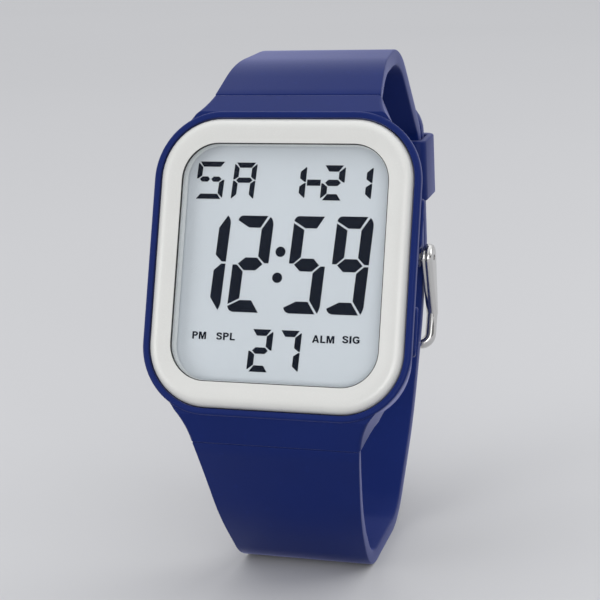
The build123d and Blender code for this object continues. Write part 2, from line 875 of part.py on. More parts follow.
# Insulating sheet on the rear of the module frame, open where the buzzer spring passes
with BuildPart() as insulator:
    with BuildSketch(at_depth(module_depth + insulator_thickness)):
        RectangleRounded(display_width, display_height, display_corner)
        with Locations((buzzer_spring_x, buzzer_spring_height)):
            Circle(2 * buzzer_spring_radius, mode=Mode.SUBTRACT)
    extrude(amount=insulator_thickness)
pieces["insulator"] = insulator

with BuildPart() as buzzer_disc:
    with BuildSketch(at_depth(case_depth)):
        with Locations((0, buzzer_height)):
            Circle(buzzer_radius)
    extrude(amount=buzzer_thickness)
pieces["buzzer_disc"] = buzzer_disc

with BuildPart() as buzzer_spring:
    spring_low = board_back + buzzer_spring_wire + buzzer_seat_gap
    spring_high = case_depth - buzzer_thickness - buzzer_spring_wire - buzzer_seat_gap
    with BuildLine() as buzzer_coil:
        Helix(
            (spring_high - spring_low) / buzzer_spring_turns,
            spring_high - spring_low,
            buzzer_spring_radius,
            center=(buzzer_spring_x, spring_low, buzzer_spring_height),
            direction=(0, 1, 0),
        )
    with BuildSketch(Plane(origin=buzzer_coil.line @ 0, z_dir=buzzer_coil.line % 0)):
        Circle(buzzer_spring_wire)
    sweep(path=buzzer_coil.line, is_frenet=True)
pieces["buzzer_spring"] = buzzer_spring

# Rear gasket, plate and screws
with BuildPart() as case_back_gasket:
    with BuildSketch(at_depth(case_depth)):
        RectangleRounded(
            2 * (cavity_half_width + back_gasket_inset + back_gasket_width),
            2 * (cavity_half_height + back_gasket_inset + back_gasket_width),
            cavity_corner + back_gasket_inset + back_gasket_width,
        )
        RectangleRounded(
            2 * (cavity_half_width + back_gasket_inset),
            2 * (cavity_half_height + back_gasket_inset),
            cavity_corner + back_gasket_inset,
            mode=Mode.SUBTRACT,
        )
    extrude(amount=back_gasket_depth)
pieces["case_back_gasket"] = case_back_gasket

plate_back = case_depth + back_plate_thickness
with BuildPart() as case_back:
    with BuildSketch(at_depth(plate_back)):
        RectangleRounded(
            case_width - 2 * (side_draft + back_plate_inset),
            case_height - 2 * (end_draft + back_plate_inset),
            back_plate_corner,
        )
    extrude(amount=back_plate_thickness)
    rear_face = case_back.faces().sort_by(Axis.Y)[-1]
    chamfer(rear_face.edges(), length=back_plate_thickness / 4)
    with BuildSketch(at_depth(plate_back)):
        with GridLocations(2 * screw_x, 2 * screw_height, 2, 2):
            Circle(screw_radius + screw_gap)
    extrude(amount=back_plate_thickness, mode=Mode.SUBTRACT)
    with BuildSketch(at_depth(plate_back)):
        with GridLocations(2 * screw_x, 2 * screw_height, 2, 2):
            Circle(screw_head_radius + screw_gap)
    extrude(amount=screw_head_thickness, mode=Mode.SUBTRACT)
pieces["case_back"] = case_back

with BuildPart() as case_back_screws:
    with BuildSketch(at_depth(plate_back)):
        with GridLocations(2 * screw_x, 2 * screw_height, 2, 2):
            Circle(screw_head_radius)
            Rectangle(2 * screw_head_radius, screw_slot_width, mode=Mode.SUBTRACT)
    extrude(amount=screw_slot_depth)
    with BuildSketch(at_depth(plate_back - screw_slot_depth)):
        with GridLocations(2 * screw_x, 2 * screw_height, 2, 2):
            Circle(screw_head_radius)
    extrude(amount=screw_head_thickness - screw_slot_depth)
    with BuildSketch(at_depth(plate_back - screw_head_thickness)):
        with GridLocations(2 * screw_x, 2 * screw_height, 2, 2):
            Circle(screw_radius)
    extrude(amount=screw_length)
pieces["case_back_screws"] = case_back_screws

# Plan of the straps' taper, seen along the watch's height
with BuildSketch(Plane.XY) as strap_plan:
    with BuildLine():
        start = (seam_half_width, min(seam_depth_upper, seam_depth_lower) - overrun)
        seam_corner = (seam_half_width, min(seam_depth_upper, seam_depth_lower))
        waist = (strap_waist_half_width, strap_waist_depth)
        middle = (strap_mid_half_width, strap_mid_depth)
        narrow = (strap_half_width, rest_end_depth)
        finish = (strap_half_width, loop_depth + overrun)
        Line((0, start[1]), start)
        Line(start, seam_corner)
        ThreePointArc(seam_corner, waist, middle)
        Line(middle, narrow)
        Line(narrow, finish)
        Line(finish, (0, finish[1]))
        mirror(about=Plane.YZ)
    make_face()


def knuckle_sketch(end):
    """Knuckle round the bar, blended out under the strap."""
    bar = seam_point(end, -bar_setback, bar_sink)
    top = bar_sink - knuckle_radius
    with BuildSketch(Plane.YZ) as knuckle:
        with Locations(bar):
            Circle(knuckle_radius)
        with BuildLine():
            Polyline(
                seam_point(end, -bar_setback, top),
                seam_point(end, knuckle_blend, top),
                seam_point(end, knuckle_blend, strap_thickness),
                seam_point(end, 0, bar_sink + knuckle_radius),
                seam_point(end, -bar_setback, bar_sink + knuckle_radius),
                close=True,
            )
        make_face()
    return knuckle.sketch_local


# Short strap: from the upper seam over the top and down to the buckle bar
short_end = (buckle_bar[0] + wrap_radius, buckle_bar[1])
with BuildPart() as short_strap:
    with BuildSketch(Plane.YZ):
        with BuildLine():
            FilletPolyline(
                seam_point(1, seam_gap, 0),
                *short_corners,
                short_end,
                radius=[*short_corner_radii, tail_bend_radius - lap_offset],
            )
            offset(amount=strap_thickness, side=Side.RIGHT)
        make_face()
    extrude(amount=seam_half_width, both=True)
    with BuildSketch(Plane.YZ):
        with Locations(buckle_bar):
            Circle(wrap_radius)
        with BuildLine():
            Polyline(
                short_end,
                on_lap(lap_offset, -lap_offset - strap_thickness / 2),
                on_lap(lap_offset, -lap_offset - strap_thickness),
                (buckle_bar[0] - wrap_radius, buckle_bar[1]),
                close=True,
            )
        make_face()
    extrude(amount=strap_half_width, both=True)
    with BuildSketch(Plane.XY.offset(-loop_depth)):
        add(strap_plan.sketch)
    extrude(amount=3 * loop_depth, mode=Mode.INTERSECT)
    with BuildSketch(Plane.YZ):
        add(knuckle_sketch(1))
    extrude(amount=knuckle_half_width, both=True)
    with Locations(across(seam_point(1, -bar_setback, bar_sink))):
        Cylinder(bar_radius + bar_hole_gap, 2 * seam_half_width, mode=Mode.SUBTRACT)
    with Locations(across(buckle_bar)):
        Cylinder(bar_radius + bar_hole_gap, 4 * strap_half_width, mode=Mode.SUBTRACT)
    # slot in which the tongue's sleeve turns
    with Locations((0, buckle_bar[0], buckle_bar[1])):
        Box(
            tongue_width + 2 * sleeve_slot_gap,
            4 * wrap_radius,
            2 * (sleeve_radius + sleeve_slot_gap),
            mode=Mode.SUBTRACT,
        )
pieces["short_strap"] = short_strap

# Long strap: from the lower seam under the loop and up to the rounded tip
with BuildPart() as long_strap:
    with BuildSketch(Plane.YZ):
        with BuildLine():
            FilletPolyline(
                seam_point(-1, seam_gap, 0),
                *long_corners,
                tail_tip,
                radius=[*long_corner_radii, tail_bend_radius],
            )
            offset(amount=tail_thickness, side=Side.LEFT)
        make_face()
    extrude(amount=seam_half_width, both=True)
    with BuildSketch(Plane.XY.offset(-2 * loop_depth)):
        add(strap_plan.sketch)
    extrude(amount=4 * loop_depth, mode=Mode.INTERSECT)
    with BuildSketch(Plane.YZ):
        add(knuckle_sketch(-1))
    extrude(amount=knuckle_half_width, both=True)
    with Locations(across(seam_point(-1, -bar_setback, bar_sink))):
        Cylinder(bar_radius + bar_hole_gap, 2 * seam_half_width, mode=Mode.SUBTRACT)
    # rounded tip
    tip_edges = long_strap.faces().sort_by(Axis.Z)[-1].edges().filter_by(Axis.X, reverse=True)
    fillet(tip_edges, radius=tail_tip_round)
    # oblong holes, one every pitch along the rear stretch
    tongue_slope = tan(radians(tongue_angle))
    used_height = buckle_bar[1] - tongue_slope * (tail_outer - tail_thickness / 2 - buckle_bar[0])
    for step in range(-holes_below_buckle, holes_above_buckle + 1):
        hole_height = used_height + step * hole_pitch
        with BuildSketch(at_depth(loop_depth + overrun)):
            with Locations((0, hole_height)):
                SlotOverall(hole_length, hole_width, rotation=90)
        extrude(amount=loop_depth / 2, mode=Mode.SUBTRACT)
pieces["long_strap"] = long_strap

# Keeper round the lapped straps
keeper_middle = on_lap(
    lap_bend - keeper_drop, -(tail_thickness + lap_gap + strap_thickness) / 2
)
keeper_plane = Plane(
    origin=(0, keeper_middle[0], keeper_middle[1]),
    x_dir=(1, 0, 0),
    z_dir=(0, lap_up[0], lap_up[1]),
)
keeper_inner_width = 2 * (strap_half_width + keeper_gap)
keeper_inner_height = tail_thickness + lap_gap + strap_thickness + 2 * keeper_gap
with BuildPart() as keeper:
    with BuildSketch(keeper_plane):
        RectangleRounded(
            keeper_inner_width + 2 * keeper_side_wall,
            keeper_inner_height + 2 * keeper_wall,
            keeper_wall,
        )
        RectangleRounded(
            keeper_inner_width, keeper_inner_height, keeper_gap, mode=Mode.SUBTRACT
        )
    extrude(amount=keeper_width / 2, both=True)
pieces["keeper"] = keeper

# Spring bars: tube, inner spring and two tips each
bar_places = {
    "upper": (seam_point(1, -bar_setback, bar_sink), knuckle_half_width, pocket_gap),
    "lower": (seam_point(-1, -bar_setback, bar_sink), knuckle_half_width, pocket_gap),
    "buckle": (buckle_bar, strap_half_width, buckle_side_gap),
}
with BuildPart() as spring_bar_tubes:
    for point, half, gap in bar_places.values():
        with Locations(across(point)):
            Cylinder(bar_radius, 2 * half)
            Cylinder(bar_bore_radius, 2 * half, mode=Mode.SUBTRACT)
pieces["spring_bar_tubes"] = spring_bar_tubes

with BuildPart() as spring_bar_tips:
    for point, half, gap in bar_places.values():
        for side in (1, -1):
            inside = half - tip_shank
            with BuildSketch(Plane.YZ.offset(side * inside)):
                with Locations(point):
                    Circle(tip_radius)
            extrude(amount=side * (tip_shank + gap + tip_engagement))
            with BuildSketch(Plane.YZ.offset(side * inside)):
                with Locations(point):
                    Circle(tip_collar_radius)
            extrude(amount=side * tip_collar_length)
pieces["spring_bar_tips"] = spring_bar_tips

with BuildPart() as spring_bar_springs:
    for point, half, gap in bar_places.values():
        reach = half - tip_shank - bar_spring_wire - bar_end_gap
        with BuildLine() as bar_coil:
            Helix(
                2 * reach / bar_spring_turns,
                2 * reach,
                bar_bore_radius - bar_end_gap - bar_spring_wire,
                center=(-reach, point[0], point[1]),
                direction=(1, 0, 0),
            )
        with BuildSketch(Plane(origin=bar_coil.line @ 0, z_dir=bar_coil.line % 0)):
            Circle(bar_spring_wire)
        sweep(path=bar_coil.line, is_frenet=True)
pieces["spring_bar_springs"] = spring_bar_springs

# Buckle frame: two arms that hang on the bar and a crossbar over the strap
elbow = (tail_outer + elbow_reach, buckle_bar[1] - elbow_drop)
crossbar = (tail_outer + crossbar_reach, buckle_bar[1] - crossbar_drop)
arm_inner = strap_half_width + buckle_side_gap
with BuildPart() as buckle_frame:
    with BuildSketch(Plane.YZ):
        with Locations(buckle_bar):
            Circle(lug_radius)
        with Locations(elbow):
            Circle(arm_radius)
        make_hull()
    extrude(amount=buckle_half_width, both=True)
    with BuildSketch(Plane.YZ):
        with Locations(elbow, crossbar):
            Circle(arm_radius)
        make_hull()
    extrude(amount=buckle_half_width, both=True)
    # open between the arms, from above the lugs down to the crossbar
    with BuildSketch(at_depth(0)):
        with BuildLine():
            opening_low = crossbar[1]
            opening_high = buckle_bar[1] + lug_radius + overrun
            Polyline(
                (-arm_inner, opening_low),
                (arm_inner, opening_low),
                (arm_inner, opening_high),
                (-arm_inner, opening_high),
                close=True,
            )
        make_face()
    extrude(amount=-2 * loop_depth, mode=Mode.SUBTRACT)
    with Locations(across(crossbar)):
        Cylinder(arm_radius, 2 * arm_inner)
    with Locations(across(buckle_bar)):
        Cylinder(tip_radius + bar_hole_gap, 4 * buckle_half_width, mode=Mode.SUBTRACT)
    # rounded lower corners
    with BuildSketch(at_depth(0)):
        with BuildLine():
            low = crossbar[1] - arm_radius
            high = buckle_bar[1] + lug_radius
            FilletPolyline(
                (-buckle_half_width, high),
                (-buckle_half_width, low),
                (buckle_half_width, low),
                (buckle_half_width, high),
                radius=buckle_corner,
                close=False,
            )
            Line((buckle_half_width, high), (-buckle_half_width, high))
        make_face()
    extrude(amount=-2 * loop_depth, mode=Mode.INTERSECT)
pieces["buckle_frame"] = buckle_frame

# Tongue: a sleeve on the bar, up through the strap's hole and over the crossbar
knee_depth = tail_outer + tongue_rise
knee = (knee_depth, buckle_bar[1] - tongue_slope * (knee_depth - buckle_bar[0]))
passing = (crossbar[0] + arm_radius + tongue_rest_gap + tongue_radius, crossbar[1])
tongue_run = heading(knee, passing)
tongue_tip = (
    passing[0] + tongue_overhang * tongue_run[0],
    passing[1] + tongue_overhang * tongue_run[1],
)
with BuildPart() as buckle_tongue:
    with BuildSketch(Plane.YZ):
        with Locations(buckle_bar, knee):
            Circle(tongue_radius)
        make_hull()
    extrude(amount=tongue_width / 2, both=True)
    with BuildSketch(Plane.YZ):
        with Locations(knee, tongue_tip):
            Circle(tongue_radius)
        make_hull()
    extrude(amount=tongue_width / 2, both=True)
    with Locations(across(buckle_bar)):
        Cylinder(sleeve_radius, tongue_width)
        Cylinder(bar_radius + bar_hole_gap, 2 * tongue_width, mode=Mode.SUBTRACT)
pieces["buckle_tongue"] = buckle_tongue

# Lean the watch back, stand it on Z = 0 and centre it over the origin
leaned = Location((0, 0, 0), (-lean_angle, 0, 0))
envelope = Compound([piece.part.moved(leaned) for piece in pieces.values()]).bounding_box()
middle = envelope.center()
stand = Location((-middle.X, -middle.Y, -envelope.min.Z)) * leaned

os.makedirs("parts", exist_ok=True)
for label, name in pieces.items():
    name.part = name.part.moved(stand)
    name.part.label = label
    export_step(name.part, f"parts/{label}.step")
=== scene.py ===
import json
from math import asin, atan2, ceil, cos, degrees, hypot, pi, radians, sin, sqrt, tan

import bpy
from mathutils import Matrix, Vector


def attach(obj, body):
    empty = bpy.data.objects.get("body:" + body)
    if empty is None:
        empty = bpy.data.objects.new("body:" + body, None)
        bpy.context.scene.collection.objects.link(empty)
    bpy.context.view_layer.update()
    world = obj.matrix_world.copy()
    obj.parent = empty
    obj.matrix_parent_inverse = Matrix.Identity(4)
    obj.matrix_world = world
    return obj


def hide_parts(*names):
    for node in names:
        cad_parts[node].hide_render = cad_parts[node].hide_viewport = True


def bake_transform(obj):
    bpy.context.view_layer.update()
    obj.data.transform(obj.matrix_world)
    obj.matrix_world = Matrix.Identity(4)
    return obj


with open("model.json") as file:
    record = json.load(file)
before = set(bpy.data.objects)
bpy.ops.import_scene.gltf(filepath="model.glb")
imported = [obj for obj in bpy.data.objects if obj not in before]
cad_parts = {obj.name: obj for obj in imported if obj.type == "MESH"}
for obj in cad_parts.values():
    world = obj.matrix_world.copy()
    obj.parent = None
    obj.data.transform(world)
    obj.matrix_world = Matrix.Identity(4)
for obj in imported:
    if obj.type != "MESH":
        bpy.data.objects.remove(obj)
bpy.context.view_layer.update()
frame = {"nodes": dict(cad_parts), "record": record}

# Every piece is shaped as the wearer sees the face: X runs to three o'clock, Y from
# the face towards the wrist and Z to twelve o'clock, with the origin at the middle
# of the bezel's front. place_on_stand then leans it back with the rest of the watch.
# Sizes are written in millimetres and multiplied by MM where a mesh is made. Points of
# the side view are depths and heights, and pairs of sizes are widths and heights.
MM = 0.001
MERGE = 0.0005                   # points of one mesh nearer than this become one
SPIN_STEP = 5                    # degrees of a bend to one step
SMOOTH_BELOW = radians(32)       # faces that meet at less are shaded as one surface

# Stand
LEAN = radians(20)
BACK_PLATE_DEPTH = 10.2          # bezel's front to the case back's outer face

# Bezel, whose front is crowned: a wide round outside and a gentle fall to the window
BEZEL_SIZE = (35.0, 38.9)
BEZEL_CORNER = 8.3
BEZEL_THICKNESS = 1.75
BEZEL_OUTER_ROUND = 1.3
BEZEL_ROUND_STEPS = 8
BEZEL_CROWN = [(0.35, 0.012), (0.50, 0.045), (0.50, 0.060), (0.45, 0.070)]
BEZEL_EDGE_ROUND = 0.06
WINDOW_SIZE = (28.7, 32.0)
WINDOW_CORNER = 5.0
REBATE_REACH = 2.0
REBATE_DEPTH = 0.70
# black ring at the window's edge: painted shade of the gap between bezel and lens
GAP_SHADE_WIDTH = 0.09
GAP_SHADE_DEPTH = (0.235, 0.60)
CUT_DEPTHS = (-1.0, 3.5)         # reach of a cut through the bezel or through the black ring that paints the gap's shade

# Straps
SEAM_UPPER = (3.4, 23.2)
SEAM_LOWER = (3.7, -24.1)
SEAM_GAP = 0.14
SEAM_HALF_WIDTH = 11.75
WAIST = (10.5, 11.2)             # half-width and depth
TAPER_END = (9.75, 19.0)
STRAP_HALF_WIDTH = 9.0
STRAIGHT_FROM = 40.0             # depth past which the straps keep their width
RUN_STEP = 2.0                   # length of the parts that a straight run is divided in
SHORT_THICKNESS = 2.2
SHORT_BENDS = [(8.10, 28.90), (20.50, 34.60)]
SHORT_BEND_RADII = [14.0, 12.0, 5.0]
LONG_THICKNESS = 2.0
LONG_BENDS = [(13.00, -34.40), (22.33, -40.60), (40.00, -34.17), (46.60, -18.50), (49.30, -3.00)]
LONG_BEND_RADII = [30.0, 8.0, 10.0, 40.0, 60.0]
LAP_GAP = 0.1
LAP_OFFSET = LONG_THICKNESS + LAP_GAP
LAP_START = (49.3, 9.5)
LAP_LEAN = radians(22.8)
LAP_BEND = 19.15
TAIL_LENGTH = 23.9
TAIL_TIP_ROUND = 5.5
TAIL_BEND_RADIUS = 8.0
STRAP_EDGE_ROUND = 0.22
KNUCKLE_RADIUS = 1.6
KNUCKLE_HALF_WIDTH = 6.5
BAR_SETBACK = 1.14
BAR_SINK = 3.36
BAR_BORE = 0.75
KNUCKLE_BLEND = 4.5

# Holes for the tongue
HOLE_LENGTH = 3.9
HOLE_WIDTH = 2.2
HOLE_PITCH = 6.5
USED_HOLE_HEIGHT = 4.89
HOLE_STEPS = range(-5, 3)
PUNCH_LENGTH = 30.0
PUNCH_DEPTH = 45.0               # middle of the punch, at the rear of the loop

# Keeper
KEEPER_SIZE = (20.8, 7.9, 9.4)
KEEPER_OPENING = (18.6, 4.9)
KEEPER_CORNER = 1.5
KEEPER_ALONG = 13.1
KEEPER_EDGE_ROUND = 0.5

# Buckle
BUCKLE_BAR = (45.6, 7.0)
WRAP_RADIUS = 1.6
WRAP_HALF_WIDTH = 8.74
WRAP_REAR = (1.48, -0.25)        # corners of the wrap's filling, from the bar
WRAP_FRONT = (-1.57, -0.20)
WRAP_SINK = 0.04                 # how far the filling stays inside the wrap and the strap
LUG_RADIUS = 2.1
ARM_RADIUS = 1.05
ARM_HALF_THICKNESS = 0.85
ARM_MIDDLE_X = 10.15
ELBOW = (50.4, -1.2)
CROSSBAR = (50.0, -6.3)
ARM_EDGE_ROUND = 0.72
BUCKLE_CORNER = 2.6
LUG_BORE = 0.45
TONGUE_HALF_WIDTH = 0.75
TONGUE_THICKNESS = 1.0
TONGUE_KNEE = (50.6, 3.09)
TONGUE_TIP = (51.83, -7.69)
TONGUE_BEND_RADIUS = 1.6
TONGUE_EDGE_ROUND = 0.32
SLEEVE_RADIUS = 1.3
SLEEVE_SLOT = (2.1, 3.2)         # width and height of the slot that the sleeve turns in

# Return springs of the buttons
BUTTON_DEPTH = 4.0
BUTTON_PLACES = {
    "upper_right": (1, 6.2),
    "lower_right": (1, -8.05),
    "upper_left": (-1, 6.2),
    "lower_left": (-1, -8.05),
}
SPRING_SPAN = (16.512, 17.372)   # from the recess floor to the button's underside
SPRING_WIRE = 0.1
SPRING_RADIUS = 1.03
SPRING_TURNS = 2
SPRING_STEPS = 36                # steps in one turn

# Display
GLASS_SIZE = (30.2, 33.5)
GLASS_CORNER = 4.6
GLASS_DEPTHS = (1.455, 2.095)
# the pale band round the display's edge is painted light: it stands for the lens edge's
# reflection and lightens the bezel's shade there
BORDER_OUTSIDE = (29.6, 32.9)
BORDER_INSIDE = (27.8, 31.6)
BORDER_CORNER = 4.6
BORDER_DEPTHS = (1.47, 1.50)
BORDER_CUT = (-1.0, 3.0)
PRINT_DEPTH = 2.10
PRINT_THICKNESS = 0.03
# small words of the display: left, right, low and high edges as seen from the face
INDICATORS = {
    "PM": (-11.98, -10.03, -10.32, -9.33),
    "SPL": (-8.57, -5.93, -10.32, -9.33),
    "ALM": (4.78, 7.80, -10.14, -9.17),
    "SIG": (8.88, 11.22, -10.05, -9.08),
}
# their letters on a height of 1: width, outlines and the lines of the drawn strokes
LETTER_STROKE = 0.19
LETTER_GAP = 0.12
LETTERS = {
    "P": (0.66, [[(0, 0), (0, 1), (0.20, 1), (0.20, 0)]],
          [[(0.205, 0.905), (0.36, 0.905), (0.49, 0.86), (0.55, 0.76), (0.55, 0.64),
            (0.49, 0.54), (0.36, 0.495), (0.205, 0.495)]]),
    "M": (0.86, [[(0, 0), (0, 1), (0.28, 1), (0.43, 0.38), (0.58, 1), (0.86, 1), (0.86, 0),
                  (0.67, 0), (0.67, 0.70), (0.51, 0), (0.35, 0), (0.19, 0.70), (0.19, 0)]], []),
    "S": (0.66, [],
          [[(0.565, 0.70), (0.52, 0.83), (0.42, 0.895), (0.28, 0.90), (0.15, 0.85),
            (0.105, 0.74), (0.15, 0.62), (0.28, 0.55), (0.42, 0.49), (0.53, 0.42),
            (0.565, 0.29), (0.52, 0.16), (0.40, 0.10), (0.25, 0.10), (0.13, 0.17),
            (0.09, 0.30)]]),
    "L": (0.58, [[(0, 0), (0, 1), (0.20, 1), (0.20, 0.19), (0.58, 0.19), (0.58, 0)]], []),
    "A": (0.80, [[(0, 0), (0.29, 1), (0.51, 1), (0.80, 0), (0.59, 0), (0.40, 0.72), (0.21, 0)],
                 [(0.270, 0.21), (0.530, 0.21), (0.487, 0.37), (0.313, 0.37)]], []),
    "I": (0.21, [[(0, 0), (0, 1), (0.21, 1), (0.21, 0)]], []),
    "G": (0.76, [],
          [[(0.66, 0.72), (0.58, 0.85), (0.44, 0.90), (0.29, 0.88), (0.17, 0.79),
            (0.105, 0.63), (0.10, 0.46), (0.14, 0.28), (0.24, 0.15), (0.39, 0.10),
            (0.54, 0.12), (0.66, 0.20), (0.665, 0.44), (0.42, 0.445)]]),
}

# Large figures: outline of each segment in its cell, from the cell's middle and base
TIME_SLANT = 3.8
TIME_HEIGHT = 13.0
TIME_SEGMENTS = {
    "a": [(-2.50, 12.36), (-2.40, 12.64), (-2.22, 12.87), (-1.95, 13.00), (1.64, 13.00),
          (0.74, 11.40), (-0.86, 11.40)],
    "b": [(1.98, 12.88), (2.23, 12.62), (2.42, 12.25), (2.50, 11.85), (2.50, 6.64),
          (1.90, 6.64), (0.94, 7.55), (0.94, 11.20)],
    "c": [(2.50, 6.36), (2.50, 1.05), (2.42, 0.68), (2.32, 0.36), (2.20, 0.10),
          (0.94, 1.80), (0.94, 5.45), (1.90, 6.36)],
    "d": [(-2.50, 0.75), (-0.86, 1.62), (0.74, 1.62), (1.90, 0.00), (-1.70, 0.00),
          (-2.12, 0.16), (-2.38, 0.44)],
    "e": [(-2.50, 6.36), (-1.90, 6.36), (-0.96, 5.45), (-0.96, 1.84), (-2.50, 1.02)],
    "f": [(-2.50, 6.64), (-1.90, 6.64), (-0.96, 7.55), (-0.96, 11.16), (-2.50, 12.06)],
    "g": [(-1.78, 6.50), (-0.82, 7.36), (0.82, 7.36), (1.68, 6.50), (0.76, 5.64), (-0.88, 5.64)],
}
# middle, base and lit segments
TIME_FIGURES = [
    (-10.46, -6.43, "bc"),
    (-4.44, -6.50, "abdeg"),
    (3.41, -6.43, "acdfg"),
    (9.33, -6.35, "abcdfg"),
]
COLON = (-0.47, 1.74, 0.69)      # middle, height of each dot and their radius

# Small figures: middle, base, height, height of the middle bar, width, stroke, corner
# cut, slant and lit segments; h and i are the halves of a split middle bar
SEGMENT_GAP = 0.08
SEGMENT_TIP = 0.20
SPLIT_BAR = (0.09, 0.40)         # where each half ends and where its point begins
DAY_AND_DATE = [
    (-10.94, 8.68, 5.10, 2.70, 3.96, 0.70, 0.23, 4.0, "acdfhi"),
    (-6.12, 8.59, 5.10, 2.70, 3.18, 0.70, 0.25, 4.0, "abcefg"),
    (0.96, 8.75, 4.70, 2.35, 3.15, 0.84, 0.31, 2.4, "bc"),
    (6.285, 8.75, 4.70, 2.35, 3.15, 0.84, 0.31, 2.4, "abdeg"),
    (10.07, 8.75, 4.70, 2.35, 3.15, 0.84, 0.31, 2.4, "bc"),
]
SECONDS = [
    (-2.31, -14.35, 5.67, 2.83, 3.18, 0.85, 0.33, 3.0, "abdeg"),
    (1.62, -14.35, 5.67, 2.83, 3.18, 0.85, 0.33, 3.0, "abc"),
]
DASH = (3.64, 11.09, 1.86, 0.82)  # middle, height, length and stroke

# Camera, in the watch's own axes
CAMERA_AZIMUTH = radians(17.0)
CAMERA_ELEVATION = radians(-5.13)
CAMERA_ROLL = radians(3.685)
CAMERA_DISTANCE = 210.206
CAMERA_SIDE = -2.970
CAMERA_RISE = 4.8825
CAMERA_LENS = 96.0
CAMERA_SENSOR = 36.0

# Light: place and size of each lamp in metres and its power in watts
LAMP_TARGET = (0.0, -0.005, 0.04)
LAMPS = {
    "left softbox": ((-0.55, -0.52, 0.18), 0.42, 1.5),
    "right softbox": ((0.42, -0.60, 0.22), 0.42, 1.0),
    "low softbox": ((0.16, -0.68, 0.04), 0.35, 1.6),
    "side softbox": ((0.60, 0.20, 0.30), 0.35, 0.8),
}
SKY_LOW = 0.10                   # strength all round, and what is added behind and above
SKY_BEHIND = 0.50
SKY_ABOVE = 0.98
BACKDROP = 0.80                  # strength that the camera sees

mounts = {mount["name"]: mount for mount in frame["record"]["mounts"]}
back_face = Vector(mounts["case_back_face"]["pos_m"])
back_axis = Vector(mounts["case_back_face"]["axis"])
watch_origin = back_face - back_axis * (BACK_PLATE_DEPTH * MM)
watch_place = Matrix.Translation(watch_origin) @ Matrix.Rotation(-LEAN, 4, "X")


# Shader maths

class Field:
    """One socket of a material, on which plain sums add Math nodes."""

    def __init__(self, socket):
        self.socket = socket

    def math(self, operation, first, second):
        tree = self.socket.id_data
        node = tree.nodes.new("ShaderNodeMath")
        node.operation = operation
        connect(tree, node.inputs[0], first)
        connect(tree, node.inputs[1], second)
        return Field(node.outputs[0])

    def __add__(self, other):
        return self.math("ADD", self, other)

    def __radd__(self, other):
        return self.math("ADD", other, self)

    def __sub__(self, other):
        return self.math("SUBTRACT", self, other)

    def __rsub__(self, other):
        return self.math("SUBTRACT", other, self)

    def __mul__(self, other):
        return self.math("MULTIPLY", self, other)

    def __rmul__(self, other):
        return self.math("MULTIPLY", other, self)

    def __pow__(self, other):
        return self.math("POWER", self, other)


def connect(tree, socket, value):
    """Links a field to a socket, or writes a plain value on the socket."""
    if isinstance(value, Field):
        tree.links.new(value.socket, socket)
    else:
        socket.default_value = value


class Tree:
    """A node tree under construction."""

    def __init__(self, tree):
        self.tree = tree

    def node(self, kind, settings, inputs, output=0):
        """Adds any node: its settings first, then its sockets. Returns one output as a field."""
        node = self.tree.nodes.new(kind)
        for label, value in settings.items():
            setattr(node, label, value)
        for label, value in inputs.items():
            connect(self.tree, node.inputs[label], value)
        return Field(node.outputs[output])

    def ramp(self, value, low, high):
        """Smooth step from 0 to 1 as a value goes from low to high."""
        return self.node(
            "ShaderNodeMapRange",
            {"interpolation_type": "SMOOTHSTEP"},
            {"Value": value, "From Min": low, "From Max": high},
            "Result",
        )


class Finish(Tree):
    """A material under construction, with a Principled shader as its base."""

    def __init__(self, name, colour, roughness, **constants):
        self.material = bpy.data.materials.new(name)
        self.material.use_nodes = True
        super().__init__(self.material.node_tree)
        self.shader = self.tree.nodes["Principled BSDF"]
        self.output = self.tree.nodes["Material Output"]
        self.set("Base Color", (*colour, 1.0))
        self.set("Roughness", roughness)
        for label, value in constants.items():
            self.set(label.replace("_", " "), value)

    def set(self, label, value):
        connect(self.tree, self.shader.inputs[label], value)

    def surface(self, shader):
        """Shows another shader in place of the Principled one."""
        connect(self.tree, self.output.inputs["Surface"], shader)

    def place(self, scale=(1.0, 1.0, 1.0)):
        """Object coordinates, stretched along the axes."""
        points = self.node("ShaderNodeTexCoord", {}, {}, "Object")
        return self.node("ShaderNodeMapping", {}, {"Vector": points, "Scale": scale})

    def noise(self, grain, detail=3.0, place=None):
        """Soft random pattern from 0 to 1 whose grains are about that many millimetres."""
        sockets = {
            "Vector": place or self.place(), "Scale": 1 / (grain * MM), "Detail": detail,
            "Roughness": 0.55,
        }
        return self.node("ShaderNodeTexNoise", {}, sockets, "Fac")

    def mix(self, amount, first, second):
        """Colour between two colours."""
        first, second = (
            colour if isinstance(colour, Field) else (*colour, 1.0) for colour in (first, second)
        )
        sockets = {"Factor": amount, 6: first, 7: second}
        return self.node("ShaderNodeMix", {"data_type": "RGBA"}, sockets, 2)

    def bump(self, height, depth, surface=None):
        """Surface relief of that many millimetres, on the surface's own normal or another."""
        inputs = {"Height": height, "Distance": depth * MM}
        if surface is not None:
            inputs["Normal"] = surface
        self.set("Normal", self.node("ShaderNodeBump", {}, inputs, "Normal"))


def shade(colour, share):
    """The colour made lighter or darker by a share."""
    return tuple(channel * share for channel in colour)


